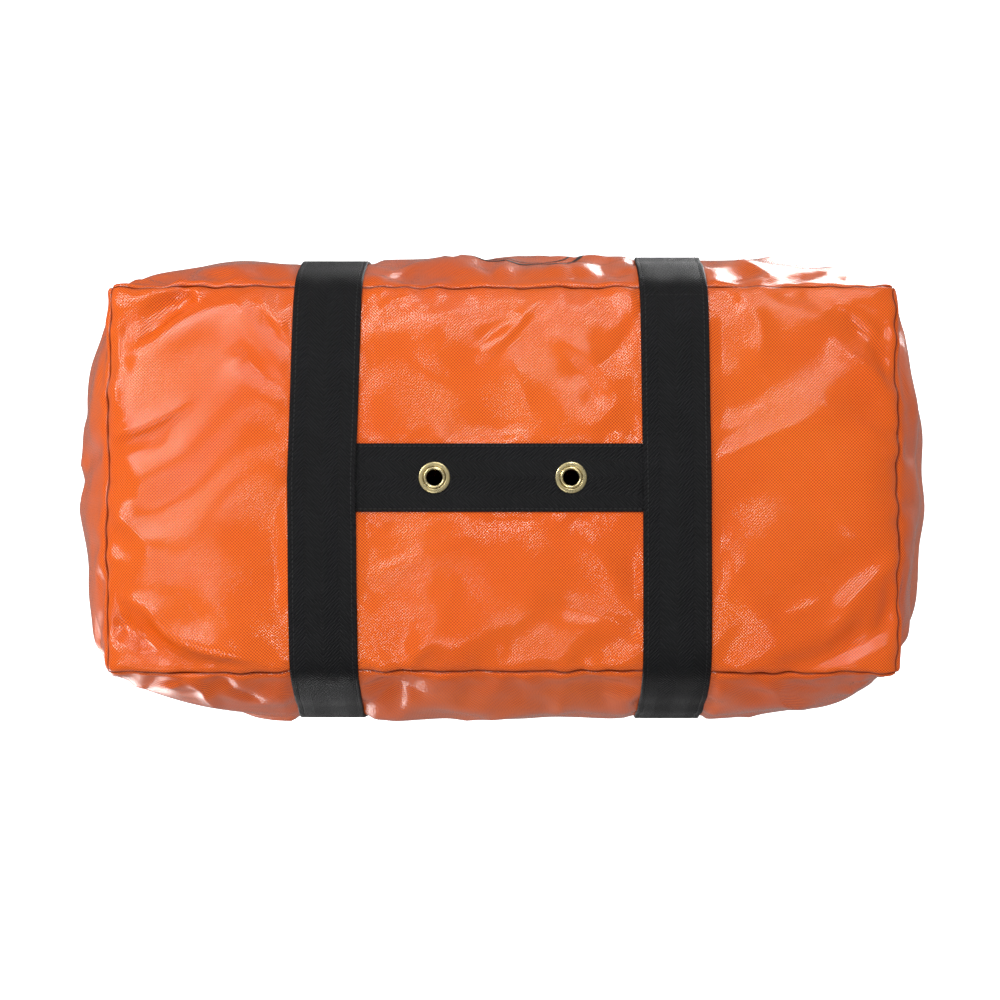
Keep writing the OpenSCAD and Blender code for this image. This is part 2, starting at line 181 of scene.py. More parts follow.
def coated_fabric():
    """Vinyl-coated tarpaulin: glossy orange film with the weave of the scrim telegraphing through it."""
    n = Nodes("coated_fabric")
    where = n.object_space()
    u, v = n.cloth_space()
    pitch = 2.3 * MM
    threads = n.math("MULTIPLY", n.ripple(u, pitch), n.ripple(v, pitch))
    leather = n.noise(where, 900.0, 2.0)
    cloudy = n.noise(where, 7.0, 4.0)
    scuffs = n.spread(n.noise(where, 60.0, 5.0, 0.7), 0.58, 0.78)
    tone = n.mix(n.spread(cloudy, 0.3, 0.7), lin(242, 104, 14), lin(248, 118, 22))
    # Painted shade: the colour darkens towards lin(178, 46, 5) in the hollows between the scrim's raised
    # threads.
    tone = n.mix(n.spread(threads, -0.8, 0.6, 1.0, 0.0), tone, lin(178, 46, 5))
    tone = n.mix(n.math("MULTIPLY", scuffs, 0.06), tone, lin(240, 150, 110))
    # Painted shade: the colour darkens towards lin(110, 26, 6) along each seam, for the shadow in the seam's
    # narrow groove.
    seam = n.add("ShaderNodeAttribute")
    seam.attribute_name = "seam"
    tone = n.mix(n.spread(seam.outputs["Fac"], 0.45, 0.95, 0.0, 0.85), tone, lin(110, 26, 6))
    rough = n.math("ADD", n.spread(cloudy, 0.3, 0.7, 0.44, 0.52), n.math("MULTIPLY", scuffs, 0.08))
    normal = n.bump(threads, 0.20 * MM, 0.9)
    normal = n.bump(leather, 0.04 * MM, 0.4, normal)
    film = n.bump(threads, 0.085 * MM, 0.9)
    return n.set(Base_Color=tone, Roughness=rough, Normal=normal, IOR=1.5, Specular_IOR_Level=0.1,
                 Coat_Weight=1.0, Coat_Roughness=0.10, Coat_Normal=film)


def webbing(name, dark, light, bands=2, pitch=2.0 * MM):
    """Woven polyester webbing: bands of herringbone twill between plain selvedges. V runs across it."""
    n = Nodes(name)
    where = n.object_space()
    u, v = n.cloth_space()
    across = n.math("DIVIDE", v, WEB_W)
    fold = n.math("PINGPONG", n.math("MULTIPLY", across, float(bands)), 0.5)
    twill = n.math("SINE", n.math("ADD", n.math("MULTIPLY", u, math.tau / pitch),
                                  n.math("MULTIPLY", fold, math.tau * WEB_W / bands / pitch)))
    plain = n.math("MULTIPLY", n.ripple(u, 1.05 * MM), n.ripple(v, 0.9 * MM))
    weave = n.math("ADD", n.math("MULTIPLY", twill, 0.6), n.math("MULTIPLY", plain, 0.4))
    fuzz = n.noise(where, 1500.0, 2.0)
    worn = n.noise(where, 28.0, 4.0)
    tone = n.mix(n.spread(weave, -0.5, 0.9), dark, light)
    tone = n.mix(n.spread(worn, 0.45, 0.8, 0.0, 0.12), tone, lin(40, 40, 45))
    rough = n.spread(n.math("ADD", weave, fuzz), -0.6, 1.6, 0.62, 0.42)
    normal = n.bump(weave, 0.34 * MM, 1.0)
    normal = n.bump(fuzz, 0.06 * MM, 0.4, normal)
    return n.set(Base_Color=tone, Roughness=rough, Normal=normal, Specular_IOR_Level=0.3)


def thread(name, colour):
    n = Nodes(name)
    where = n.object_space()
    twist = n.noise(where, 2600.0, 2.0)
    lit = (*(min(1.0, c * 2.2 + 0.01) for c in colour[:3]), 1.0)
    tone = n.mix(n.spread(twist, 0.3, 0.7), colour, lit)
    return n.set(Base_Color=tone, Roughness=n.spread(twist, 0.3, 0.7, 0.42, 0.6),
                 Normal=n.bump(twist, 0.08 * MM, 0.6))


def metal(name, bright, dull, rough_low, rough_high, grain):
    """Plated or plain metal with a fine grain, faint stains and rubbed spots."""
    n = Nodes(name)
    where = n.object_space()
    stains = n.noise(where, 120.0, 5.0, 0.65)
    fine = n.noise(where, grain, 2.0)
    tone = n.mix(n.spread(stains, 0.35, 0.75), bright, dull)
    rough = n.math("ADD", n.spread(stains, 0.3, 0.75, rough_low, rough_high),
                   n.spread(fine, 0.3, 0.7, 0.0, 0.06))
    return n.set(Base_Color=tone, Metallic=1.0, Roughness=rough, Normal=n.bump(fine, 0.02 * MM, 0.35))


def moulded_plastic():
    n = Nodes("zip_teeth")
    where = n.object_space()
    grain = n.noise(where, 1800.0, 3.0)
    rubbed = n.noise(where, 45.0, 4.0)
    tone = n.mix(n.spread(rubbed, 0.45, 0.75), lin(24, 24, 26), lin(44, 44, 47))
    return n.set(Base_Color=tone, Roughness=n.spread(rubbed, 0.3, 0.7, 0.34, 0.5),
                 Normal=n.bump(grain, 0.04 * MM, 0.4))


def print_ink():
    """Screen-printed black on the coated fabric, a little broken where the weave stands up."""
    n = Nodes("print_ink")
    where = n.object_space()
    speckle = n.noise(where, 1300.0, 3.0)
    tone = n.mix(n.spread(speckle, 0.6, 0.8, 0.0, 0.5), lin(20, 18, 19), lin(120, 50, 26))
    return n.set(Base_Color=tone, Roughness=n.spread(speckle, 0.3, 0.7, 0.36, 0.5),
                 Normal=n.bump(speckle, 0.04 * MM, 0.4))


FABRIC = coated_fabric()
WEBBING = webbing("webbing", lin(0, 0, 1), lin(16, 16, 19), pitch=2.6 * MM)
ZIP_TAPE = webbing("zip_tape", lin(13, 13, 15), lin(30, 30, 34), bands=9, pitch=1.4 * MM)
BINDING = webbing("seam_binding", lin(15, 15, 17), lin(36, 36, 40), bands=5, pitch=1.6 * MM)
BLACK_THREAD = thread("black_thread", lin(11, 11, 13))
BRASS = metal("eyelet_brass", lin(240, 226, 178), lin(206, 184, 122), 0.20, 0.34, 900.0)
NICKEL = metal("zip_metal", lin(196, 197, 200), lin(150, 151, 155), 0.30, 0.44, 1200.0)
TOOTH = moulded_plastic()
INK = print_ink()


# ---------------------------------------------------------------- mesh helpers
def new_object(name, verts, faces, material, uvs=None, smooth=True):
    """A mesh object from vertices and faces; uvs holds one pair for each vertex."""
    mesh = bpy.data.meshes.new(name)
    mesh.from_pydata([tuple(v) for v in verts], [], [tuple(int(i) for i in f) for f in faces])
    if uvs is not None:
        layer = mesh.uv_layers.new(name="UVMap")
        for loop in mesh.loops:
            layer.data[loop.index].uv = uvs[loop.vertex_index]
    mesh.materials.append(material)
    mesh.polygons.foreach_set("use_smooth", [smooth] * len(mesh.polygons))
    mesh.update()
    return link(name, mesh)


def link(name, data):
    """A new object in the scene, of this mesh, curve, light or camera."""
    obj = bpy.data.objects.new(name, data)
    scene.collection.objects.link(obj)
    return obj


@contextmanager
def editing(mesh):
    """The mesh as a bmesh, written back at the end."""
    work = bmesh.new()
    work.from_mesh(mesh)
    yield work
    work.to_mesh(mesh)
    work.free()


def bake_modifiers(obj):
    """Applies every modifier on obj."""
    graph = bpy.context.evaluated_depsgraph_get()
    graph.update()
    mesh = bpy.data.meshes.new_from_object(obj.evaluated_get(graph), preserve_all_data_layers=True,
                                           depsgraph=graph)
    obj.modifiers.clear()
    obj.data = mesh
    return obj


def thicken(obj, thickness, offset):
    """Gives a sheet thickness, behind its faces (-1), in front of them (1) or half each way (0)."""
    solid = obj.modifiers.new("Thickness", "SOLIDIFY")
    solid.thickness = thickness
    solid.offset = offset
    return bake_modifiers(obj)


def stations(marks, step):
    """Places from the first mark to the last, with every mark among them, no more than step apart."""
    out = [marks[0]]
    for a, b in zip(marks, marks[1:]):
        n = max(1, math.ceil((b - a) / step - 1e-6))
        out += [a + (b - a) * i / n for i in range(1, n + 1)]
    return out


def unit(rows):
    return rows / np.linalg.norm(rows, axis=1, keepdims=True)


def run_lengths(line):
    """The distance along a line to each of its points."""
    return np.concatenate([[0], np.cumsum(np.linalg.norm(np.diff(line, axis=0), axis=1))])


def sample(at, lengths, rows):
    """The rows at these distances, given the distance of each row."""
    return np.stack([np.interp(at, lengths, column) for column in rows.T], axis=-1)


def fall(u, k):
    """1 up to k, then down to 0 at 1 as a parabola."""
    u = np.abs(u)
    return np.where(u <= k, 1.0, 1.0 - (np.maximum(u - k, 0) / (1 - k)) ** 2)


def smooth_step(x, a, b):
    t = np.clip((np.asarray(x, float) - a) / (b - a), 0.0, 1.0)
    return t * t * (3 - 2 * t)


def stand_for(obj, *nodes):
    """Hides the CAD nodes that obj replaces."""
    if nodes:
        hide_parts(*nodes)
    return obj


def own(obj, body, *nodes):
    """obj rides on body and stands for the CAD nodes."""
    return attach(stand_for(obj, *nodes), body)


# ---------------------------------------------------------------- camera, floor and light
def look(obj, eye, target, up):
    """Places obj at eye, facing target, with the direction up at the top of its view."""
    back = (Vector(eye) - Vector(target)).normalized()
    right = Vector(up).cross(back).normalized()
    turn = Matrix((right, back.cross(right), back)).transposed()
    obj.matrix_world = Matrix.Translation(Vector(eye)) @ turn.to_4x4()
    return obj


def add_camera():
    """Below the bag, looking up at its base, with the front at the top of the picture."""
    data = bpy.data.cameras.new("camera")
    data.lens = 85
    data.sensor_width = 36
    data.clip_end = 50
    scene.camera = look(link("camera", data), (-0.002, 0.108, -1.738), (-0.002, 0.016, SEAM_Z), (0, -1, 0))


def soft_box(name, eye, target, width, height, watts, shine=True):
    """An area light. Without shine it lights surfaces evenly but shows in none of their reflections."""
    data = bpy.data.lights.new(name, "AREA")
    data.shape = "RECTANGLE"
    data.size = width
    data.size_y = height
    data.energy = watts
    look(link(name, data), eye, target, (0.03, 0.2, 1)).visible_glossy = shine


def one_sided(name, colour, glow):
    """A surface seen only from its front: the view from behind it passes through."""
    n = Nodes(name)
    n.set(Base_Color=colour, Roughness=0.75, Emission_Color=colour, Emission_Strength=glow)
    output = next(k for k in n.tree.nodes if k.type == "OUTPUT_MATERIAL")
    mixer = n.add("ShaderNodeMixShader")
    n.feed(mixer.inputs[0], n.add("ShaderNodeNewGeometry").outputs["Backfacing"])
    n.feed(mixer.inputs[1], n.shader.outputs[0])
    n.feed(mixer.inputs[2], n.add("ShaderNodeBsdfTransparent").outputs[0])
    n.feed(output.inputs["Surface"], mixer.outputs[0])
    return n.material


def add_sheet(name, half, z, upward, material):
    corners = [(-half, -half, z), (half, -half, z), (half, half, z), (-half, half, z)]
    obj = new_object(name, corners if upward else corners[::-1], [(0, 1, 2, 3)], material, smooth=False)
    obj.visible_shadow = obj.visible_diffuse = obj.visible_glossy = obj.visible_transmission = False


def add_studio():
    add_sheet("floor", 4.0, -0.5 * MM, True, one_sided("pale_floor", lin(206, 206, 204), 0.0))
    add_sheet("backdrop", 5.0, 3.0, False, one_sided("white_backdrop", (1, 1, 1, 1), 1.0))
    world = bpy.data.worlds.new("studio")
    world.use_nodes = True
    background = next(n for n in world.node_tree.nodes if n.type == "BACKGROUND")
    background.inputs["Color"].default_value = (1, 1, 1, 1)
    background.inputs["Strength"].default_value = 0.24
    scene.world = world
    soft_box("window_left", (-0.95, -0.72, -1.30), (-0.05, 0, 0.05), 0.28, 0.72, 15)
    soft_box("window_right", (0.22, -1.00, -1.35), (0.0, 0, 0.05), 0.23, 0.62, 9)
    soft_box("window_rear", (-0.42, 0.72, -1.50), (0.0, 0, 0.05), 0.22, 0.44, 5.5)
    soft_box("front_below", (0.35, -1.50, -0.60), (0.05, 0, 0.1), 0.9, 0.4, 3)
    soft_box("rear_bounce", (0.0, 1.45, -0.50), (0, 0.1, 0.12), 1.6, 0.6, 8, shine=False)
    soft_box("left_bounce", (-1.65, 0.05, -0.45), (-0.2, 0, 0.12), 0.6, 0.9, 10, shine=False)
    soft_box("right_bounce", (1.65, 0.05, -0.45), (0.2, 0, 0.12), 0.6, 0.9, 7, shine=False)
    soft_box("key_above", (1.3, -1.6, 2.2), (0, 0, 0.15), 1.3, 1.3, 62)
    soft_box("fill_above", (-1.7, 1.3, 1.9), (0, 0, 0.15), 1.4, 1.4, 40)


add_camera()
add_studio()
scene.view_settings.view_transform = "Standard"


# ---------------------------------------------------------------- the filled bag, as one closed skin
CLOTH_STEP = 6.2 * MM
CLOTH_FRAMES = 20
BASE, FRONT, REAR, LEFT, RIGHT, TOP = range(6)
# The share of each panel's crown that is left to the cloth, and the furthest that the cloth may move a point.
SLACK = {BASE: 0.7, FRONT: 0.22, REAR: 0.22, LEFT: 0.32, RIGHT: 0.32, TOP: 0.0}
SIDE_CAP, END_CAP, BASE_CAP = 7.5 * MM, 11 * MM, 6.5 * MM
ON_PLANE = 1e-5                          # how near a point of the flat box is to a plane that it lies in
STRAP_FLAT = (STRAP_X + WEB_W / 2 + 6 * MM) / HALF_L
BASE_FLAT = 1 - 60 * MM / HALF_D
MID_Z = (SEAM_Z + TOP_Z) / 2
HALF_H = (TOP_Z - SEAM_Z) / 2


def crowned(panel, x, y, z):
    """Where a point of the flat box goes when the bag is filled, or what the cloth starts from."""
    u, v, w = x / HALF_L, y / HALF_D, (z - MID_Z) / HALF_H
    share = 1 - SLACK[panel]
    if panel == BASE:
        z = z - share * (SEAM_Z - BASE_Z) * fall(u, STRAP_FLAT) * fall(v, BASE_FLAT)
    elif panel == TOP:
        z = z + share * TOP_CROWN * fall(u, ZIP_END / HALF_L) * (1 - v * v)
    elif panel in (FRONT, REAR):
        y = y + (1 if panel == REAR else -1) * share * SIDE_CROWN * fall(u, STRAP_FLAT) * (1 - w * w)
    else:
        x = x + (1 if panel == RIGHT else -1) * share * END_CROWN * (1 - v * v) * (1 - w * w)
    return x, y, z


def make_skin():
    """The closed skin as a quad mesh. Each face keeps its panel, and each point its place on the flat box."""
    xs = stations([-HALF_L, -ZIP_END, -MOUTH, 0, MOUTH, ZIP_END, HALF_L], CLOTH_STEP)
    ys = stations([-HALF_D, -REVEAL, 0, REVEAL, HALF_D], CLOTH_STEP)
    zs = stations([SEAM_Z, TOP_Z], CLOTH_STEP)
    index, flat, pos, faces, panels, uvs = {}, [], [], [], [], []

    def point(panel, x, y, z):
        key = (round(x, 6), round(y, 6), round(z, 6))
        if key not in index:
            index[key] = len(flat)
            flat.append((x, y, z))
            pos.append(tuple(float(c) for c in crowned(panel, x, y, z)))
        return index[key]

    def grid(panel, a_list, b_list, place, flip):
        for a0, a1 in zip(a_list, a_list[1:]):
            for b0, b1 in zip(b_list, b_list[1:]):
                corners = [(a0, b0), (a1, b0), (a1, b1), (a0, b1)]
                if flip:
                    corners.reverse()
                faces.append([point(panel, *place(a, b)) for a, b in corners])
                panels.append(panel)
                uvs.extend((a + HALF_L, b + HALF_D) for a, b in corners)

    grid(BASE, xs, ys, lambda a, b: (a, b, SEAM_Z), True)
    grid(TOP, xs, ys, lambda a, b: (a, b, TOP_Z), False)
    grid(FRONT, xs, zs, lambda a, b: (a, -HALF_D, b), False)
    grid(REAR, xs, zs, lambda a, b: (a, HALF_D, b), True)
    grid(LEFT, ys, zs, lambda a, b: (-HALF_L, a, b), True)
    grid(RIGHT, ys, zs, lambda a, b: (HALF_L, a, b), False)
    obj = new_object("skin", pos, faces, FABRIC)
    layer = obj.data.uv_layers.new(name="UVMap")
    layer.data.foreach_set("uv", np.array(uvs, np.float32).ravel())
    obj.data.attributes.new("panel", "INT", "FACE").data.foreach_set("value", panels)
    for axis in range(3):
        values = np.array([p[axis] for p in flat], np.float32)
        obj.data.attributes.new(f"flat_{axis}", "FLOAT", "POINT").data.foreach_set("value", values)
    return obj


def numbers(collection, key, width=1, kind=np.float32):
    out = np.zeros(len(collection) * width, kind)
    collection.foreach_get(key, out)
    return out.reshape(-1, width) if width > 1 else out


def get_points(mesh):
    return numbers(mesh.vertices, "co", 3).astype(float)


def set_points(mesh, co):
    mesh.vertices.foreach_set("co", co.astype(np.float32).ravel())
    mesh.update()


def flat_places(mesh):
    columns = [numbers(mesh.attributes[f"flat_{axis}"].data, "value") for axis in range(3)]
    return np.stack(columns, axis=1).astype(float)


def seam_distance(flat):
    """How far each point is from the nearest seam of the box, measured along its panel."""
    x, y, z = np.abs(flat - (0, 0, MID_Z)).T
    gaps = np.abs(np.stack([HALF_L - x, HALF_D - y, HALF_H - z]))
    return np.sort(gaps, axis=0)[1]      # the smallest is the distance to the panel's own plane


def weigh(obj, name, weights):
    group = obj.vertex_groups.new(name=name)
    levels = np.round(weights, 2)
    for level in np.unique(levels[levels > 0]):
        group.add(np.nonzero(levels == level)[0].tolist(), float(level), "REPLACE")
    return name


def inflate(obj, held, tight):
    """Blows the skin up as cloth: held where held is high, with less cloth where tight is high."""
    cloth = obj.modifiers.new("Cloth", "CLOTH")
    s = cloth.settings
    s.quality = 5
    s.mass = 0.15
    s.tension_stiffness = s.compression_stiffness = 25
    s.shear_stiffness = 12
    s.bending_stiffness = 1.2
    s.air_damping = 2
    s.use_pressure = True
    s.uniform_pressure_force = 4
    s.vertex_group_mass = weigh(obj, "held", held)
    s.vertex_group_shrink = weigh(obj, "tight", tight)
    s.shrink_min = -0.035
    s.shrink_max = 0.015
    s.effector_weights.gravity = 0
    cloth.collision_settings.use_collision = False
    cloth.point_cache.frame_start = 1
    cloth.point_cache.frame_end = CLOTH_FRAMES
    for f in range(1, CLOTH_FRAMES + 1):
        scene.frame_set(f)
    graph = bpy.context.evaluated_depsgraph_get()
    result = get_points(obj.evaluated_get(graph).data)
    obj.modifiers.clear()
    obj.vertex_groups.clear()
    scene.frame_set(1)
    return result


def relax(mesh, co, weights, rounds):
    """Pulls each point towards the middle of its neighbours, by its weight."""
    edges = numbers(mesh.edges, "vertices", 2, np.int32)
    count = np.bincount(edges.ravel(), minlength=len(co))[:, None]
    for _ in range(rounds):
        total = np.zeros_like(co)
        np.add.at(total, edges[:, 0], co[edges[:, 1]])
        np.add.at(total, edges[:, 1], co[edges[:, 0]])
        co = co + (total / count - co) * weights[:, None]
    return co


def capped(step, limit):
    length = np.linalg.norm(step, axis=1, keepdims=True)
    return step * np.tanh(length / limit) * limit / np.maximum(length, 1e-9)


def filled_skin():
    skin = make_skin()
    start = get_points(skin.data)
    flat = flat_places(skin.data)
    gap = seam_distance(flat)
    on_top = flat[:, 2] > TOP_Z - ON_PLANE
    zip_band = on_top & (np.abs(flat[:, 1]) < REVEAL + 8 * MM)
    corner = (HALF_L - np.abs(flat[:, 0]) < 1 * MM) & (HALF_D - np.abs(flat[:, 1]) < 1 * MM)
    under_strap = (np.abs(np.abs(flat[:, 0]) - STRAP_X) < WEB_W / 2) & ~on_top
    shape = start
    held = np.where(gap < 1e-4, 0.35, 0.0) + 0.25 * on_top
    held = np.maximum(held, np.maximum(0.9 * corner, 1.0 * zip_band))
    tight = np.maximum(np.exp(-(gap / (7 * MM)) ** 2), 0.15 * under_strap)
    base_or_side = np.where(flat[:, 2:] < SEAM_Z + ON_PLANE, BASE_CAP, SIDE_CAP)
    cap = np.where(HALF_L - np.abs(flat[:, :1]) < ON_PLANE, END_CAP, base_or_side)
    shape = start + capped(inflate(skin, held, tight) - start, cap)
    shape = relax(skin.data, shape, 0.5 * np.exp(-(gap / (9 * MM)) ** 2) * ~zip_band, 3)
    set_points(skin.data, shape)
    skin.modifiers.new("Smooth", "SUBSURF").levels = 1
    return bake_modifiers(skin)


skin = filled_skin()
FLAT = flat_places(skin.data)
GAP = seam_distance(FLAT)
ON_BASE, ON_TOP = FLAT[:, 2] < SEAM_Z + ON_PLANE, FLAT[:, 2] > TOP_Z - ON_PLANE
ON_FRONT, ON_REAR = FLAT[:, 1] < -HALF_D + ON_PLANE, FLAT[:, 1] > HALF_D - ON_PLANE
ON_LEFT, ON_RIGHT = FLAT[:, 0] < -HALF_L + ON_PLANE, FLAT[:, 0] > HALF_L - ON_PLANE


# ---------------------------------------------------------------- folds and creases in the fabric
class Waves:
    """Smooth random ripples from a few plane waves, between about -1 and 1."""

    def __init__(self, seed, shortest, longest, count=14):
        pick = np.random.default_rng(seed)
        turn = unit(pick.normal(size=(count, 3)))
        self.waves = turn * math.tau / pick.uniform(shortest, longest, size=(count, 1))
        self.phases = pick.uniform(0, math.tau, size=count)
        self.scale = math.sqrt(2 / count)

    def __call__(self, p):
        return np.sin(p @ self.waves.T + self.phases).sum(axis=1) * self.scale


def line_distance(p, path):
    """Each 2-D point's distance from a polyline, how far along it that is (0 to 1), and on which side."""
    path = np.array(path, float)
    lengths = np.linalg.norm(np.diff(path, axis=0), axis=1)
    best = np.full(len(p), np.inf)
    along = np.zeros(len(p))
    side = np.ones(len(p))
    for i, (a, b) in enumerate(zip(path, path[1:])):
        d = b - a
        t = np.clip(((p - a) @ d) / (d @ d), 0, 1)
        off = p - (a + t[:, None] * d)
        distance = np.linalg.norm(off, axis=1)
        nearer = distance < best
        best = np.where(nearer, distance, best)
        along = np.where(nearer, (lengths[:i].sum() + t * lengths[i]) / lengths.sum(), along)
        side = np.where(nearer, np.sign(d[0] * off[:, 1] - d[1] * off[:, 0]), side)
    return best, along, side


def curve_through(points, n=16):
    """A smooth line through a few chosen points."""
    points = np.array(points, float)
    if len(points) < 3:
        return points
    ghost = np.vstack([2 * points[0] - points[1], points, 2 * points[-1] - points[-2]])
    out = []
    for a, b, c, d in zip(ghost, ghost[1:], ghost[2:], ghost[3:]):
        for t in np.arange(0, 1, 1 / n):
            bend = (2 * a - 5 * b + 4 * c - d) * t * t
            out.append(0.5 * (2 * b + (c - a) * t + bend + (3 * b - a - 3 * c + d) * t ** 3))
    return np.array(out + [points[-1]])


def fold(p, path, width, height, lean=0.0, fade=0.35):
    """A ridge along a path, or a valley if height is negative. It fades at its ends; lean steepens a side."""
    distance, along, side = line_distance(p, curve_through(path) * MM)
    reach = distance / (width * MM * (1 + lean * side))
    ends = np.clip(np.minimum(along, 1 - along) / fade, 0, 1)
    crest = 0.6 * np.exp(-reach ** 2) + 0.4 * np.exp(-2.6 * reach)
    return FOLD_DEPTH * height * MM * crest * (ends * ends * (3 - 2 * ends))


FOLD_DEPTH = 1.4
# Folds of the base panel: points in X and Y, width and height, all in millimetres, then the lean.
BASE_FOLDS = [
    ([(-226, -146), (-246, -122), (-280, -92)], 9, -5.0, 0.2),       # the tuck at the left front corner
    ([(-240, -146), (-228, -141), (-224, -128)], 4, 3.0, 0.0),
    ([(-286, -134), (-284, -80), (-289, -30)], 5, 2.6, 0.0),         # along the left seam
    ([(-296, -28), (-262, -37), (-226, -56)], 6, 4.2, -0.5),         # pleat out of the left seam
    ([(-292, -18), (-258, -20), (-232, -34)], 10, -1.8, 0.0),
    ([(-204, -142), (-182, -104), (-150, -74)], 11, 3.4, 0.2),       # drawn towards the left strap
    ([(-206, -84), (-182, -62), (-152, -48)], 11, 3.0, 0.2),
    ([(-186, -138), (-168, -118), (-153, -96)], 5, 2.2, 0.0),
    ([(-182, -126), (-166, -102), (-152, -88)], 6, -2.6, 0.0),
    ([(-200, -100), (-178, -76), (-152, -62)], 6, -2.4, 0.0),
    ([(-296, 24), (-276, 34), (-250, 60)], 9, 3.2, -0.3),            # peak in the middle of the left seam
    ([(-296, 84), (-262, 96), (-238, 118), (-160, 142)], 6, 4.4, -0.35),
    ([(-292, 100), (-272, 112), (-252, 126)], 10, -3.6, 0.0),        # dent at the left rear corner
    ([(-97, -116), (-80, -134), (-58, -139)], 6, 2.2, 0.0),
    ([(-58, -126), (-44, -102), (-58, -76)], 22, 2.8, 0.0),          # broad swelling of the middle
    ([(28, -136), (2, -104), (-22, -84)], 5, 3.0, 0.3),
    ([(20, -120), (-6, -110), (-20, -96)], 7, -2.0, 0.0),
    ([(-2, -102), (12, -76), (22, -40)], 5, 1.8, 0.0),
    ([(32, -112), (60, -92), (92, -62)], 9, 3.4, 0.3),
    ([(90, -64), (72, -42), (46, -30)], 9, 2.6, 0.0),
    ([(44, -92), (66, -66), (60, -44)], 10, -2.2, 0.0),
    ([(-70, 34), (-52, 66), (-66, 108)], 16, 2.2, 0.0),
    ([(8, 30), (20, 72), (6, 120)], 18, 2.4, 0.0),
    ([(50, 34), (76, 62), (92, 104)], 9, 2.0, 0.2),
    ([(166, -144), (190, -112), (186, -72)], 12, 2.8, 0.2),
    ([(232, -144), (262, -122), (294, -94)], 8, 3.8, 0.3),           # three folds run into the right seam
    ([(236, -104), (266, -84), (294, -58)], 8, 3.2, 0.3),
    ([(214, -62), (252, -44), (294, -24)], 9, 3.0, 0.3),
    ([(246, -128), (270, -106), (294, -76)], 6, -2.6, 0.0),
    ([(160, 40), (178, 84), (214, 132)], 12, 2.2, 0.0),
    ([(296, 60), (262, 84), (236, 122)], 9, 2.2, 0.0),
]
# Folds of the front and rear panels: points in X and Z.
FRONT_FOLDS = [
    ([(-296, 40), (-262, 30), (-228, 13)], 6, 3.5, 0.0),
    ([(-262, 12), (-240, 40), (-236, 80)], 8, -3.0, 0.0),
    ([(-95, 10), (-85, 46), (-60, 90)], 9, 2.2, 0.0),
    ([(-20, 12), (0, 44), (6, 100)], 9, 2.0, 0.0),
    ([(60, 12), (48, 60), (66, 120)], 10, -2.0, 0.0),
    ([(240, 12), (262, 60), (262, 120)], 8, 3.0, 0.0),
]
REAR_FOLDS = [
    ([(-296, 52), (-262, 44), (-226, 16)], 7, 4.0, 0.0),
    ([(-240, 14), (-222, 40), (-216, 90)], 6, 3.4, 0.2),
    ([(-216, 12), (-196, 42), (-176, 60)], 6, -2.4, 0.0),
    ([(-80, 12), (-70, 60), (-84, 120)], 9, 2.2, 0.0),
    ([(30, 12), (44, 58), (36, 130)], 10, 2.4, 0.0),
    ([(200, 12), (214, 66), (250, 110)], 9, 3.0, 0.2),
    ([(276, 14), (262, 50), (270, 110)], 7, 2.6, 0.0),
]
SOFT = Waves(3, 0.09, 0.24)
ROLLING = Waves(17, 0.045, 0.09)
PUCKER = Waves(41, 0.012, 0.030)
DRAG = Waves(53, 0.020, 0.045)


def stray_folds(seed, count, half_a, low_b, high_b):
    """Random slack folds, mostly slanting, for a panel that spans these ranges, in millimetres."""
    pick = np.random.default_rng(seed)
    folds = []
    for _ in range(count):
        a, b = pick.uniform(-half_a, half_a), pick.uniform(low_b, high_b)
        heading = pick.choice((-1, 1)) * pick.normal(50, 22)
        length, bend = pick.uniform(45, 130), pick.uniform(-14, 14)
        along = np.array((math.cos(math.radians(heading)), math.sin(math.radians(heading)))) * length / 2
        across = np.array((-along[1], along[0])) / (length / 2) * bend
        middle = np.array((a, b))
        height = pick.uniform(1.2, 2.8) * pick.choice((1, 1, -1))
        path = [middle - along, middle + across, middle + along]
        folds.append((path, pick.uniform(6, 14), height, pick.uniform(-0.3, 0.3)))
    return folds


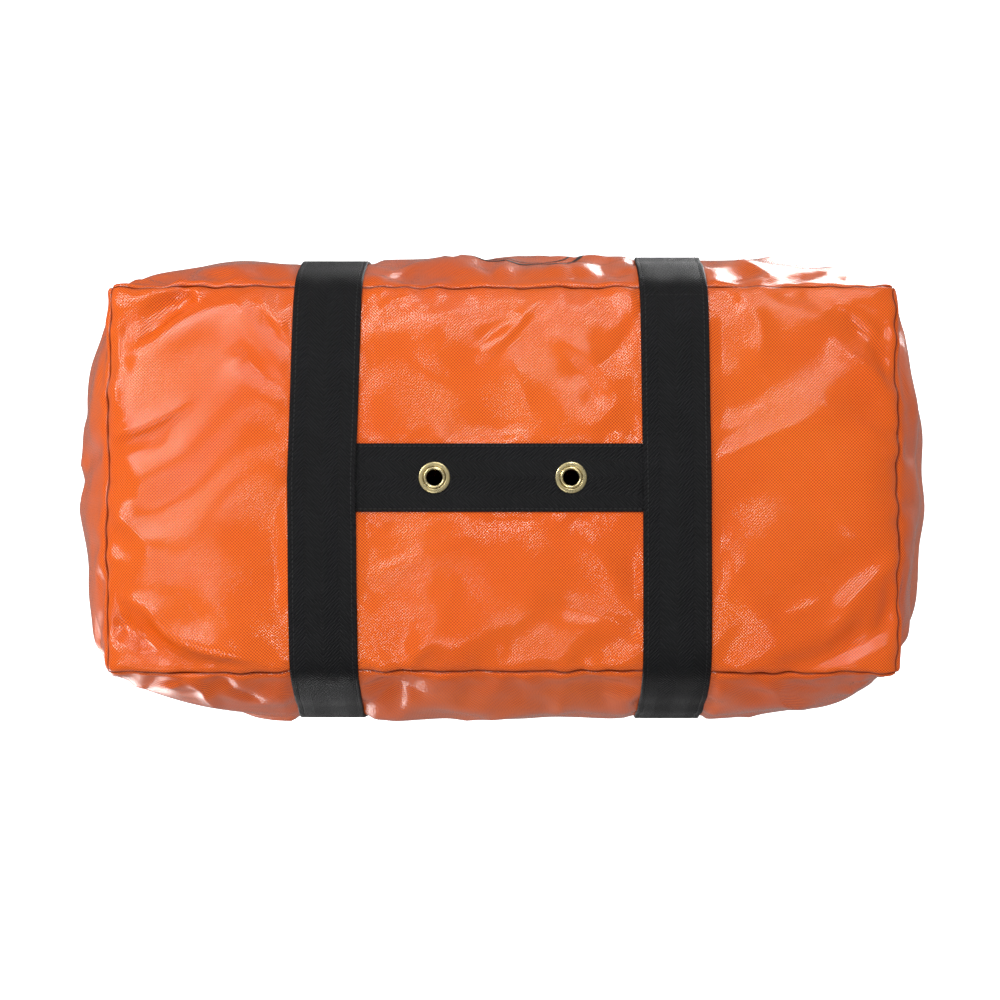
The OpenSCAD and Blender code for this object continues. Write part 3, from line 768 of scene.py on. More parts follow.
def add_folds(obj):
    """Moves the skin along its normals by its folds, ripples, and the puckers that sewing leaves."""
    co = get_points(obj.data)
    normals = numbers(obj.data.vertex_normals, "vector", 3).astype(float)
    away = smooth_step(GAP, 0, 30 * MM)
    zip_side = ON_TOP * (1 - smooth_step(np.abs(FLAT[:, 1]), REVEAL + 6 * MM, REVEAL + 45 * MM))
    out = (1.5 * MM * SOFT(FLAT) + 1.1 * MM * ROLLING(FLAT)) * away
    strap_side = np.abs(np.abs(FLAT[:, 0]) - STRAP_X) - WEB_W / 2
    near_strap = np.exp(-(np.maximum(strap_side, 0) / (11 * MM)) ** 2) * ~ON_TOP
    out += 1.0 * MM * DRAG(FLAT * (0.35, 1, 1)) * near_strap * away
    near_web = np.exp(-(np.maximum(np.abs(FLAT[:, 1]) - WEB_W / 2, 0) / (8 * MM)) ** 2)
    near_web = near_web * ON_BASE * (np.abs(FLAT[:, 0]) < STRAP_X)
    out += 1.0 * MM * PUCKER(FLAT * (1, 0.3, 1)) * near_web
    out += 0.7 * MM * PUCKER(FLAT) * np.exp(-(GAP / (12 * MM)) ** 2)
    out -= 1.7 * MM * np.exp(-(GAP / (2.6 * MM)) ** 2)
    for on, axes, folds in (
            (ON_BASE, (0, 1), BASE_FOLDS + stray_folds(5, 12, 280, -130, 130)),
            (ON_FRONT, (0, 2), FRONT_FOLDS + stray_folds(6, 18, 280, 30, 285)),
            (ON_REAR, (0, 2), REAR_FOLDS + stray_folds(7, 18, 280, 30, 285)),
            (ON_LEFT, (1, 2), stray_folds(8, 11, 130, 40, 280)),
            (ON_RIGHT, (1, 2), stray_folds(9, 11, 130, 40, 280)),
            (ON_TOP, (0, 1), stray_folds(10, 16, 280, -140, 140))):
        where = np.nonzero(on)[0]
        p = FLAT[where][:, axes]
        for path, width, height, lean in folds:
            out[where] += fold(p, path, width, height, lean) * smooth_step(GAP[where], 0, 5 * MM)
    out *= 1 - zip_side
    co += normals * out[:, None]
    floor_z = 1.0 * MM
    rise = co[:, 2] - floor_z
    co[:, 2] = np.where(ON_BASE, floor_z + (rise + np.sqrt(rise ** 2 + (2.4 * MM) ** 2)) / 2, co[:, 2])
    set_points(obj.data, co)


add_folds(skin)


# ---------------------------------------------------------------- the straps' routes, and the skin under them
HUB_Z = 150 * MM                         # height of the axis that the straps go round
# How far the left (-1) and the right (1) strap wander sideways, in millimetres, at these angles in degrees.
DRIFT = {-1: (5.0, 2.0, -3.0, -1.0, -4.0), 1: (0.0, -4.0, -2.0, -2.0, -2.0)}
DRIFT_AT = np.array([-105.0, -60.0, 0.0, 60.0, 105.0])


def drift(side, angle):
    """How far a sewn strap wanders sideways, by its angle round the bag; none at its top ends."""
    degrees = np.degrees(angle)
    wander = np.interp(degrees, DRIFT_AT, DRIFT[side]) * MM
    return wander * (1 - smooth_step(np.abs(degrees), 62, 112))


def angle_at(y, z):
    return np.arctan2(y, HUB_Z - z)


class Route:
    """The line of a strap round the bag: its radius from the hub, by angle, from front top to rear top."""

    def __init__(self, side, tree):
        self.side = side
        half_turn = float(angle_at(-HALF_D - 22 * MM, STRAP_TOP + 12 * MM))
        self.angles = np.linspace(half_turn, -half_turn, 361)
        rows = []
        for offset in (-20 * MM, -8 * MM, 8 * MM, 20 * MM):
            row = []
            for angle in self.angles:
                x = side * STRAP_X + float(drift(side, angle)) + offset
                hub = Vector((x, 0, HUB_Z))
                way = Vector((0, math.sin(angle), -math.cos(angle)))
                hit = tree.ray_cast(hub + way, -way)[0]
                row.append((hit - hub).length)
            rows.append(row)
        radius = np.median(np.array(rows), axis=0)
        kernel = np.exp(-np.linspace(-2, 2, 13) ** 2)
        kernel /= kernel.sum()
        flat_radius = (HUB_Z - BASE_Z) / np.maximum(np.cos(self.angles), 0.05)
        for _ in range(4):
            radius = np.convolve(np.pad(radius, 6, mode="edge"), kernel, mode="valid")
            radius = np.minimum(radius, flat_radius)
        corner_angle = angle_at(-HALF_D, SEAM_Z)
        level = smooth_step(np.abs(self.angles), abs(corner_angle) * 0.82, abs(corner_angle) * 0.60)
        radius = radius + (flat_radius - radius) * level
        upright = smooth_step(HUB_Z - radius * np.cos(self.angles), STRAP_TOP - 110 * MM, STRAP_TOP - 14 * MM)
        wall = (FOLD_Y - STRAP_T) / np.maximum(np.abs(np.sin(self.angles)), 0.3)
        self.radius = radius + (wall - radius) * upright

    def radius_at(self, angle):
        return np.interp(angle, self.angles, self.radius)

    def point(self, angle):
        r = self.radius_at(angle)
        x = self.side * STRAP_X + drift(self.side, angle)
        return np.stack([x, r * np.sin(angle), HUB_Z - r * np.cos(angle)], axis=-1)

    def frames(self, step, top):
        """Stations along the inner face of the strap: places, side vectors and outward normals."""
        fine = self.point(np.linspace(self.angles[0], self.angles[-1], 2400))
        keep = (fine[:, 2] <= top) | (np.abs(fine[:, 1]) < HALF_D)
        return line_frames(fine[keep], step, Vector((1, 0, 0)))


def line_frames(fine, step, side):
    """Even stations along a line: places, side vectors, outward normals and distances from the start."""
    lengths = run_lengths(fine)
    count = max(2, int(round(lengths[-1] / step)) + 1)
    at = np.linspace(0, lengths[-1], count)
    places = sample(at, lengths, fine)
    tangents = unit(np.gradient(places, axis=0))
    normals = unit(np.cross(tangents, np.array(side)[None, :]))
    return places, np.cross(normals, tangents), normals, at


def press(obj, routes):
    """Draws the skin in, to lie just inside the straps and the cross web."""
    co = get_points(obj.data)
    angle = angle_at(co[:, 1], co[:, 2])
    radius = np.hypot(co[:, 1], HUB_Z - co[:, 2])
    for route in routes:
        off = np.abs(co[:, 0] - (route.side * STRAP_X + drift(route.side, angle)))
        near = 1 - smooth_step(off, WEB_W / 2 - 1 * MM, WEB_W / 2 + 9 * MM)
        below = 1 - smooth_step(co[:, 2], STRAP_TOP + 2 * MM, STRAP_TOP + 26 * MM)
        weight = near * below * ~ON_TOP
        radius += (route.radius_at(angle) - 0.15 * MM - radius) * weight
    co[:, 1] = radius * np.sin(angle)
    co[:, 2] = HUB_Z - radius * np.cos(angle)
    near = 1 - smooth_step(np.abs(co[:, 1]), WEB_W / 2 - 1 * MM, WEB_W / 2 + 7 * MM)
    weight = near * ON_BASE * (np.abs(co[:, 0]) < STRAP_X)
    co[:, 2] += (BASE_Z + 0.15 * MM - co[:, 2]) * weight
    set_points(obj.data, co)


def skin_tree(obj):
    return BVHTree.FromPolygons([v.co for v in obj.data.vertices], [p.vertices for p in obj.data.polygons])


ROUTES = [Route(side, skin_tree(skin)) for side in (-1, 1)]
press(skin, ROUTES)
TREE = skin_tree(skin)


# ---------------------------------------------------------------- the panels, cut from the skin
CO = get_points(skin.data)
CORNERS = numbers(skin.data.loops, "vertex_index", 1, np.int32).reshape(-1, 4)
FACE_UV = numbers(skin.data.uv_layers["UVMap"].data, "uv", 2).reshape(-1, 4, 2)
PANEL = numbers(skin.data.attributes["panel"].data, "value", 1, np.int32)
MIDDLE = FLAT[CORNERS].mean(axis=1)


def cut(name, chosen):
    """One panel: the chosen faces of the skin as their own cloth, with thickness inwards."""
    corners = CORNERS[chosen]
    used, inverse = np.unique(corners.ravel(), return_inverse=True)
    obj = new_object(name, CO[used], inverse.reshape(-1, 4), FABRIC)
    layer = obj.data.uv_layers.new(name="UVMap")
    layer.data.foreach_set("uv", FACE_UV[chosen].astype(np.float32).ravel())
    # Weight of the painted shade along each seam, where the groove's shadow falls.
    seam = np.exp(-(GAP[used] / (2.2 * MM)) ** 2).astype(np.float32)
    obj.data.attributes.new("seam", "FLOAT", "POINT").data.foreach_set("value", seam)
    return thicken(obj, FABRIC_T, -1)


in_slot = (PANEL == TOP) & (np.abs(MIDDLE[:, 1]) < REVEAL) & (np.abs(MIDDLE[:, 0]) < ZIP_END)
on_yoke = (PANEL == TOP) & (np.abs(MIDDLE[:, 0]) > MOUTH) & ~in_slot
on_flap = (PANEL == TOP) & (np.abs(MIDDLE[:, 0]) < MOUTH) & ~in_slot
for name, node, chosen in (
        ("front_panel_cloth", "front_panel", PANEL == FRONT),
        ("rear_panel_cloth", "rear_panel", PANEL == REAR),
        ("left_end_cloth", "left_end_panel", PANEL == LEFT),
        ("right_end_cloth", "right_end_panel", PANEL == RIGHT),
        ("left_yoke_cloth", "left_top_yoke", on_yoke & (MIDDLE[:, 0] < 0)),
        ("right_yoke_cloth", "right_top_yoke", on_yoke & (MIDDLE[:, 0] > 0))):
    own(cut(name, chosen), "bag", node)


# ---------------------------------------------------------------- webbing, swept along a line
ROW_INSET = 3.7 * MM                     # stitch rows from the edge of the webbing
ROW_DIP = 0.30 * MM                      # how deep the rows of stitches lie


def web_section(width, thick, row_inset=ROW_INSET, dip=ROW_DIP):
    """Cross-section of webbing as a closed loop: across and out. Edges are rounded and stitch rows sunk."""
    half = width / 2
    row = half - row_inset
    face = [half, half - 0.12 * thick, half - 0.45 * thick,
            row + 1.1 * MM, row, row - 1.1 * MM, row - 4 * MM, row * 0.5]
    face = [f for f in face if f > 0]
    across = sorted(face + [0.0] + [-f for f in face])
    inset = half - np.abs(across)
    shoulder = thick * np.sqrt(np.clip(1 - (1 - np.clip(inset / (0.45 * thick), 0, 1)) ** 2, 0, 1)) / 2
    sunk = dip * np.exp(-((np.abs(across) - row) / (0.7 * MM)) ** 2) if row_inset else 0
    outer = [(a, thick / 2 + s - d) for a, s, d in zip(across, shoulder, np.broadcast_to(sunk, len(across)))]
    under = [(a, thick / 2 - s) for a, s in zip(across[-2:0:-1], shoulder[-2:0:-1])]
    return np.array(outer + under)


def sweep(name, places, sides, normals, at, sections, material, across=None):
    """A closed solid through the stations. sections is one loop, or one for each station."""
    sections = np.broadcast_to(sections, (len(places),) + np.shape(sections)[-2:])
    n = sections.shape[1]
    verts = places[:, None] + sections[..., :1] * sides[:, None] + sections[..., 1:2] * normals[:, None]
    across = sections[0, :, 0] if across is None else across
    shift = -across.min()
    uvs = [(float(u), float(v + shift)) for u in at for v in across]
    faces = []
    for i in range(len(places) - 1):
        a, b = i * n, (i + 1) * n
        faces += [(a + j, b + j, b + (j + 1) % n, a + (j + 1) % n) for j in range(n)]
    last = (len(places) - 1) * n
    faces += [tuple(range(n)), tuple(last + j for j in range(n - 1, -1, -1))]
    obj = new_object(name, verts.reshape(-1, 3), faces, material, uvs)
    fix_normals(obj)
    return obj


def fix_normals(obj):
    with editing(obj.data) as work:
        bmesh.ops.recalc_face_normals(work, faces=work.faces)
    obj.data.update()


def stitches(name, rows, material=BLACK_THREAD, pitch=3.6 * MM, length=2.7 * MM, radius=0.36 * MM):
    """Rows of thread as one mesh: a short, half-sunk bead for each stitch. Each row is places and normals."""
    ring = np.array([(math.cos(t), math.sin(t)) for t in np.arange(6) * math.tau / 6])
    stops = [(-0.5, 0.25), (-0.36, 0.85), (0.0, 1.0), (0.36, 0.85), (0.5, 0.25)]
    verts, faces = [], []
    for places, normals in rows:
        lengths = run_lengths(places)
        count = int(lengths[-1] / pitch)
        for k in range(count):
            middle = (k + 0.5) * lengths[-1] / count
            here, ahead = (sample(m, lengths, places) for m in (middle, middle + 0.3 * MM))
            n = sample(middle, lengths, normals)
            t = (ahead - here) / max(np.linalg.norm(ahead - here), 1e-9)
            n = n - t * (n @ t)
            n /= np.linalg.norm(n)
            s = np.cross(t, n)
            base = len(verts)
            for along, size in stops:
                centre = here + t * along * length + n * radius * 0.25
                verts += [centre + radius * size * (c * s + d * n) for c, d in ring]
            for r in range(len(stops) - 1):
                a, b = base + 6 * r, base + 6 * r + 6
                faces += [(a + j, a + (j + 1) % 6, b + (j + 1) % 6, b + j) for j in range(6)]
            faces.append(tuple(base + j for j in range(5, -1, -1)))
            faces.append(tuple(base + 24 + j for j in range(6)))
    return new_object(name, verts, faces, material, [(0.0, 0.0)] * len(verts))


def bar(place, side, normal, half_width, height, count=12):
    """A straight row of stitches across a swept piece."""
    across = np.linspace(-half_width, half_width, count)[:, None]
    return place + across * side + height * normal, np.repeat(normal[None], count, axis=0)


# ---------------------------------------------------------------- straps and cross web
TUCK = WEB_HI.x - (STRAP_X - WEB_W / 2)  # length of the cross web's ends under each strap
WEB_ROW_INSET, WEB_ROW_DIP = 2.2 * MM, 0.12 * MM


def build_strap(route, name):
    places, sides, normals, at = route.frames(4 * MM, STRAP_TOP)
    over_web = (1 - smooth_step(np.abs(places[:, 1]), WEB_W / 2, WEB_W / 2 + 8 * MM)) * (places[:, 2] < HUB_Z)
    section = web_section(WEB_W, STRAP_T)
    loops = np.repeat(section[None], len(places), axis=0)
    inner = np.clip((section[:, 0] * -route.side + WEB_W / 2 - TUCK) / (16 * MM), 0, 1)
    lift = CROSS_T * (0.35 + 0.65 * inner) * over_web[:, None]
    loops[..., 1] += np.where(section[:, 1] > STRAP_T / 2, lift, lift * 0.9)
    own(sweep(name + "_webbing", places, sides, normals, at, loops, WEBBING), "bag", name)
    top = STRAP_T - ROW_DIP
    row = WEB_W / 2 - ROW_INSET
    rows = []
    for offset in (-row, row):
        k = np.argmin(np.abs(section[:, 0] - offset) + 1e3 * (section[:, 1] < STRAP_T / 2))
        rows.append((places + offset * sides + (loops[:, k, 1:2] + 0.02 * MM) * normals, normals))
    for end in (slice(1, 13), slice(len(places) - 13, len(places) - 1)):
        p, s, n = places[end], sides[end], normals[end]
        t = np.linspace(-row, row, len(p))[:, None]
        rows += [(p + t * s + top * n, n), (p - t * s + top * n, n)]
        rows += [bar(p[i], s[i], n[i], row, top) for i in (0, -1)]
    joined = int(np.argmin(np.abs(places[:, 1] + HALF_D - 14 * MM) + 1e3 * (places[:, 2] > HUB_Z)))
    if route.side > 0:
        rows.append(bar(places[joined], sides[joined], normals[joined], row, top))
    own(stitches(name + "_stitching", rows), "bag")


def build_cross_web():
    """The web on the base, with its ends under the straps and its holes under the washers."""
    line = np.array([(x, 0.0, BASE_Z) for x in np.linspace(WEB_LO.x, WEB_HI.x, 400)])
    places, sides, normals, at = line_frames(line, 2.5 * MM, Vector((0, -1, 0)))
    section = web_section(WEB_W, CROSS_T, WEB_ROW_INSET, WEB_ROW_DIP)
    obj = sweep("cross_web", places, sides, normals, at, section, WEBBING)
    drill(obj, (EYELET_LO.z + EYELET_HI.z) / 2)
    own(obj, "bag", "base_cross_web")
    row = WEB_W / 2 - WEB_ROW_INSET
    top = (CROSS_T - WEB_ROW_DIP) * normals
    own(stitches("cross_web_stitching", [(places + y * sides + top, normals) for y in (-row, row)]), "bag")


def drill(obj, z):
    """Cuts the two eyelet holes through obj."""
    tool = link("drill", bpy.data.meshes.new("drill"))
    with editing(tool.data) as cutter:
        for side in (-1, 1):
            bmesh.ops.create_cone(cutter, cap_ends=True, segments=64, radius1=HOLE_R, radius2=HOLE_R,
                                  depth=30 * MM, matrix=Matrix.Translation((side * EYELET_X, 0, z)))
    hole = obj.modifiers.new("Holes", "BOOLEAN")
    hole.operation = "DIFFERENCE"
    hole.solver = "EXACT"
    hole.object = tool
    bake_modifiers(obj)
    bpy.data.objects.remove(tool)


# ---------------------------------------------------------------- eyelets
def lathe(name, outline, centre_x, material, segments=112):
    """A turned ring about a vertical axis, from a closed outline of radius and height."""
    outline = np.array(outline)
    n = len(outline)
    verts = [(centre_x + r * math.cos(t), r * math.sin(t), z)
             for t in np.arange(segments) * math.tau / segments for r, z in outline]
    starts = [(i * n, (i + 1) % segments * n) for i in range(segments)]
    faces = [(a + j, a + (j + 1) % n, b + (j + 1) % n, b + j) for a, b in starts for j in range(n)]
    obj = new_object(name, verts, faces, material, [(0.0, 0.0)] * len(verts))
    fix_normals(obj)
    return obj


def arc(centre_r, centre_z, radius, start, end, steps=8):
    return [(centre_r + radius * math.cos(math.radians(t)), centre_z + radius * math.sin(math.radians(t)))
            for t in np.linspace(start, end, steps)]


def build_eyelet(side, name):
    inside = EYELET_HI.z
    lip_z = WASHER_LO.z
    roll = lip_z - EYELET_LO.z
    rim = EYELET_HI.x - EYELET_X
    edge = BARREL_WALL / 2
    barrel = arc(rim - edge, inside - edge, edge, -90, 90, 6)
    barrel += arc(BORE_R + 1.2 * MM, inside - 1.2 * MM, 1.2 * MM, 90, 180, 7)
    barrel += arc(BORE_R + roll, lip_z, roll, 180, 360, 17)
    barrel += arc(BORE_R + roll, lip_z, roll - 0.45 * MM, 360, 270, 6)
    barrel += [(BORE_R + BARREL_WALL, lip_z + 0.3 * MM), (BORE_R + BARREL_WALL, inside - BARREL_WALL)]
    own(lathe(name + "_barrel", barrel, side * EYELET_X, BRASS), "bag", name)
    low, high = WASHER_LO.z, WASHER_HI.z
    groove = BORE_R + 2 * roll
    washer = [(HOLE_R, high), (HOLE_R, low + 0.5 * MM),
              (groove - 0.1 * MM, low + 0.5 * MM), (groove + 0.15 * MM, low + 0.35 * MM)]
    washer += arc(groove + 0.7 * MM, low + 0.35 * MM, 0.5 * MM, 180, 270, 6)
    washer += arc(rim - 0.9 * MM, high, high - low, -90, 0, 9)
    own(lathe(name + "_washer", washer, side * EYELET_X, BRASS), "bag", name + "_washer")


base_cloth = cut("base_panel_cloth", PANEL == BASE)
drill(base_cloth, BASE_Z)
own(base_cloth, "bag", "base_panel")
for route, name in zip(ROUTES, ("left_strap", "right_strap")):
    build_strap(route, name)
build_cross_web()
build_eyelet(-1, "left_eyelet")
build_eyelet(1, "right_eyelet")


# ---------------------------------------------------------------- the printed rings on the front
def surface_point(x, z, proud):
    """A place on the front panel, and the normal there."""
    hit, normal = TREE.ray_cast(Vector((x, -0.6, z)), Vector((0, 1, 0)))[:2]
    return hit + normal * proud * (-1 if normal.y > 0 else 1)


def printed_ring(name, x, z, inner, outer):
    verts, faces, uvs = [], [], []
    turns, bands = 220, 3
    for i in range(turns):
        t = math.tau * i / turns
        for j in range(bands + 1):
            r = inner + (outer - inner) * j / bands
            verts.append(surface_point(x + r * math.cos(t), z + r * math.sin(t), 0.12 * MM))
            uvs.append((r * t, r))
    step = bands + 1
    for i in range(turns):
        a, b = i * step, (i + 1) % turns * step
        faces += [(a + j, a + j + 1, b + j + 1, b + j) for j in range(bands)]
    own(thicken(new_object(name, verts, faces, INK, uvs), 0.10 * MM, 0), "bag")


printed_ring("printed_ring", 18 * MM, 104 * MM, 44 * MM, 48 * MM)
printed_ring("printed_inner_ring", 18 * MM, 104 * MM, 36 * MM, 37.5 * MM)


def mouth_blend(obj, side, half, *nodes):
    """One half of an opening edge: hides the CAD nodes that it replaces and bakes its transform."""
    stand_for(obj, *nodes)
    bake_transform(obj)


for half, word in ((1, "front"), (-1, "rear")):
    for side, hand in ((-1, "left"), (1, "right")):
        mine = on_flap & (MIDDLE[:, 1] * half < 0) & (MIDDLE[:, 0] * side > 0)
        mouth_blend(cut(f"{word}_flap_{hand}", mine), side, half, f"{word}_flap")
bpy.data.objects.remove(skin)


# ---------------------------------------------------------------- bound seam allowances inside the bag
BINDING_W = 9 * MM
BINDING_T = 2.0 * MM
CORE = 45 * MM                           # allowances point at a core this far inside the panels
CORNER_GAP = 24 * MM                     # from the base and top seams to the ends of the corner binding


def build_binding(name, line, node):
    """Binding tape along one run of seam, standing inwards from it."""
    line = np.array(line)
    core = np.clip(line, (-HALF_L + CORE, -HALF_D + CORE, SEAM_Z + CORE),
                   (HALF_L - CORE, HALF_D - CORE, TOP_Z - CORE))
    lengths = run_lengths(line)
    at = np.arange(0, lengths[-1], 5 * MM)
    places = sample(at, lengths, line)
    sides = sample(at, lengths, unit(core - line))
    normals = unit(np.cross(np.gradient(places, axis=0), sides))
    places = places + sides * (2.2 * MM + BINDING_W / 2) - normals * BINDING_T / 2
    section = web_section(BINDING_W, BINDING_T, 2 * MM, 0.2 * MM)
    own(sweep(name, places, sides, normals, at, section, BINDING), "bag", node)


def build_bindings():
    on_seam = GAP < ON_PLANE
    for level, name in ((SEAM_Z, "base_seam"), (TOP_Z, "top_seam")):
        ring = CO[on_seam & (np.abs(FLAT[:, 2] - level) < ON_PLANE)]
        ring = ring[np.argsort(np.arctan2(ring[:, 0] / HALF_L, ring[:, 1] / HALF_D))]
        build_binding(name + "_tape", ring, name + "_binding")
    for sx, hand in ((-1, "left"), (1, "right")):
        for sy, word in ((-1, "front"), (1, "rear")):
            from_corner = np.abs(FLAT[:, :2] - (sx * HALF_L, sy * HALF_D))
            upright = on_seam & (from_corner < ON_PLANE).all(axis=1)
            upright &= (FLAT[:, 2] > SEAM_Z + CORNER_GAP) & (FLAT[:, 2] < TOP_Z - CORNER_GAP)
            line = CO[upright]
            build_binding(f"{word}_{hand}_corner_tape", line[np.argsort(line[:, 2])], "corner_seam_bindings")


build_bindings()


# ---------------------------------------------------------------- zip
TAPE_W = TAPE_HI.y - TAPE_LO.y
PITCH = 4 * MM
ZIP_Z = (TEETH_LO.z + TEETH_HI.z) / 2


def over(x, y):
    """A place on top of the bag, and the normal there."""
    hit, normal = TREE.ray_cast(Vector((x, y, 0.6)), Vector((0, 0, -1)))[:2]
    return np.array(hit), np.array(normal if normal.z > 0 else -normal)


def build_tape(half, side, word, hand):
    """Half of one tape, with the corded edge that carries the teeth. It runs on under the end of the zip."""
    count = 64
    y = half * (TEETH_LO.y - TAPE_W / 2)
    places = np.array([(x, y, TAPE_LO.z) for x in np.linspace(0, side * ZIP_END, count)])
    sides = np.repeat([[0.0, -half, 0.0]], count, axis=0)
    normals = np.repeat([[0.0, 0.0, 1.0]], count, axis=0)
    section = web_section(TAPE_W, TAPE_HI.z - TAPE_LO.z, 3 * MM, 0.1 * MM)
    cord = np.exp(-((section[:, 0] + TAPE_W / 2 - 0.9 * MM) / (0.8 * MM)) ** 2) * 0.5 * MM
    section[:, 1] += np.where(section[:, 1] > 0.4 * MM, cord, -cord)
    at = np.abs(places[:, 0])
    obj = sweep(f"{word}_zip_tape_cloth_{hand}", places, sides, normals, at, section, ZIP_TAPE)
    mouth_blend(obj, side, half, f"{word}_zip_tape", f"{hand}_zip_tail")


TOOTH_BACK = -TEETH_LO.y + 0.35 * MM     # far end of a tooth from the zip's middle
SHORT_TOOTH = 0.73                       # share of its length that a tooth under the slider keeps


def tooth_shape(direction):
    """The points and faces of one moulded tooth, whose head reaches past the zip's middle."""
    edge = -TEETH_LO.y
    outline = [(1.30, TOOTH_BACK), (1.30, edge - 0.2 * MM), (0.95, edge - 1.2 * MM), (0.72, edge - 2.0 * MM),
               (0.92, 0.5 * MM), (0.95, -0.2 * MM), (0.62, -0.9 * MM)]
    outline = [(x * MM, y) for x, y in outline]
    ring = np.array(outline + [(-x, y) for x, y in reversed(outline)])
    centre = ring.mean(axis=0)
    half_h = (TEETH_HI.z - TEETH_LO.z) / 2
    layers = [(-1.0, 0.78), (-0.78, 0.96), (-0.5, 1.0), (0.5, 1.0), (0.78, 0.96), (1.0, 0.78)]
    n = len(ring)
    verts = [(*((ring - centre) * size + centre)[j] * (1, direction), z * half_h)
             for z, size in layers for j in range(n)]
    faces = [(r * n + j, r * n + (j + 1) % n, (r + 1) * n + (j + 1) % n, (r + 1) * n + j)
             for r in range(len(layers) - 1) for j in range(n)]
    faces += [tuple(range(n - 1, -1, -1)), tuple((len(layers) - 1) * n + j for j in range(n))]
    return np.array(verts), faces


def build_teeth(half, side, word, hand):
    shape, faces = tooth_shape(-half)
    phase = 0.25 * PITCH if half > 0 else 0.75 * PITCH
    last = ZIP_END - 5 * MM
    parked = (SLIDER_LO.x + SLIDER_HI.x) / 2
    in_slider = (SLIDER_HI.x - SLIDER_LO.x) / 2 + 1.5 * MM
    verts, all_faces = [], []
    for k in range(int((last - phase) / PITCH) + 1):
        x = side * (phase + k * PITCH) if side > 0 else -(PITCH - phase + k * PITCH)
        all_faces += [tuple(i + len(verts) for i in f) for f in faces]
        tooth = shape + (x, 0, ZIP_Z)
        if abs(abs(x) - parked) < in_slider:     # the slider's post holds the rows apart
            back = -half * TOOTH_BACK
            tooth[:, 1] = back + (tooth[:, 1] - back) * SHORT_TOOTH
        verts += [tuple(p) for p in tooth]
    obj = new_object(f"{word}_zip_teeth_{hand}", verts, all_faces, TOOTH, [(0.0, 0.0)] * len(verts), False)
    fix_normals(obj)
    shade_by_angle(obj)
    mouth_blend(obj, side, half, f"{word}_zip_teeth", f"{hand}_tail_teeth")


def shade_by_angle(obj, degrees=38):
    """Smooth shading, kept sharp where faces meet at more than this angle."""
    limit = math.radians(degrees)
    with editing(obj.data) as work:
        for edge in work.edges:
            edge.smooth = len(edge.link_faces) == 2 and edge.calc_face_angle(0) < limit
        for face in work.faces:
            face.smooth = True


def build_zip_stitching(half, side, word, hand):
    rows = []
    for y in (REVEAL + 2.5 * MM, REVEAL + 6 * MM):
        spots = [over(x, -half * y) for x in np.linspace(0, side * (ZIP_END - 6 * MM), 120)]
        rows.append((np.array([p for p, n in spots]), np.array([n for p, n in spots])))
    mouth_blend(stitches(f"{word}_zip_stitching_{hand}", rows), side, half)


for half, word in ((1, "front"), (-1, "rear")):
    for side, hand in ((-1, "left"), (1, "right")):
        for build in (build_tape, build_teeth, build_zip_stitching):
            build(half, side, word, hand)


def plate(name, loops, z0, z1, bevel, material):
    """A flat plate between two heights, with rounded edges: its outline, then the outlines of its holes."""
    curve = bpy.data.curves.new(name, "CURVE")
    curve.dimensions = "2D"
    curve.fill_mode = "BOTH"
    curve.extrude = (z1 - z0) / 2 - bevel
    curve.bevel_depth = bevel
    curve.bevel_resolution = 3
    curve.offset = -bevel
    for loop in loops:
        spline = curve.splines.new("POLY")
        spline.points.add(len(loop) - 1)
        for point, (x, y) in zip(spline.points, loop):
            point.co = (x, y, 0, 1)
        spline.use_cyclic_u = True
    flat_curve = link(name + "_outline", curve)
    graph = bpy.context.evaluated_depsgraph_get()
    graph.update()
    mesh = bpy.data.meshes.new_from_object(flat_curve.evaluated_get(graph))
    mesh.transform(Matrix.Translation((0, 0, (z0 + z1) / 2)))
    bpy.data.objects.remove(flat_curve)
    mesh.materials.clear()
    mesh.materials.append(material)
    obj = link(name, mesh)
    weld(obj)
    return obj


def weld(obj):
    with editing(obj.data) as work:
        bmesh.ops.remove_doubles(work, verts=work.verts, dist=0.002 * MM)
        bmesh.ops.recalc_face_normals(work, faces=work.faces)
    shade_by_angle(obj)


def block(name, low, high, bevel, material):
    """A small block with every edge rounded."""
    low, high = np.array(low), np.array(high)
    mesh = bpy.data.meshes.new(name)
    with editing(mesh) as work:
        bmesh.ops.create_cube(work, size=1)
        for v in work.verts:
            v.co = Vector((low + high) / 2 + np.array(v.co) * (high - low))
        bmesh.ops.bevel(work, geom=list(work.edges), offset=bevel, segments=4, profile=0.5, affect="EDGES")
    mesh.materials.append(material)
    obj = link(name, mesh)
    shade_by_angle(obj)
    return obj


def join(name, pieces):
    """The pieces as one object."""
    mesh = bpy.data.meshes.new(name)
    with editing(mesh) as work:
        for piece in pieces:
            work.from_mesh(piece.data)
    mesh.materials.append(pieces[0].data.materials[0])
    for piece in pieces:
        bpy.data.objects.remove(piece)
    return link(name, mesh)


def build_stops():
    low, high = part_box("zip_closed_stop")
    clips = []
    for s in (-1, 1):
        y0, y1 = sorted((s * 0.7 * MM, s * high.y))
        clips.append(block("clip", (low.x, y0, low.z), (high.x, y1, high.z), 0.7 * MM, NICKEL))
    own(join("closed_end_clips", clips), "bag", "zip_closed_stop")
    low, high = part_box("zip_open_stop")
    box_parts = [block("box", (low.x, low.y, low.z), (high.x, high.y, high.z), 0.8 * MM, NICKEL)]
    for s in (-1, 1):
        rib_low = (low.x + 0.6 * MM, s * 2 * MM - 0.5 * MM, high.z - 0.4 * MM)
        rib_high = (high.x - 0.6 * MM, s * 2 * MM + 0.5 * MM, high.z + 0.25 * MM)
        box_parts.append(block("rib", rib_low, rib_high, 0.2 * MM, NICKEL))
    own(join("open_end_box", box_parts), "bag", "zip_open_stop")


build_stops()


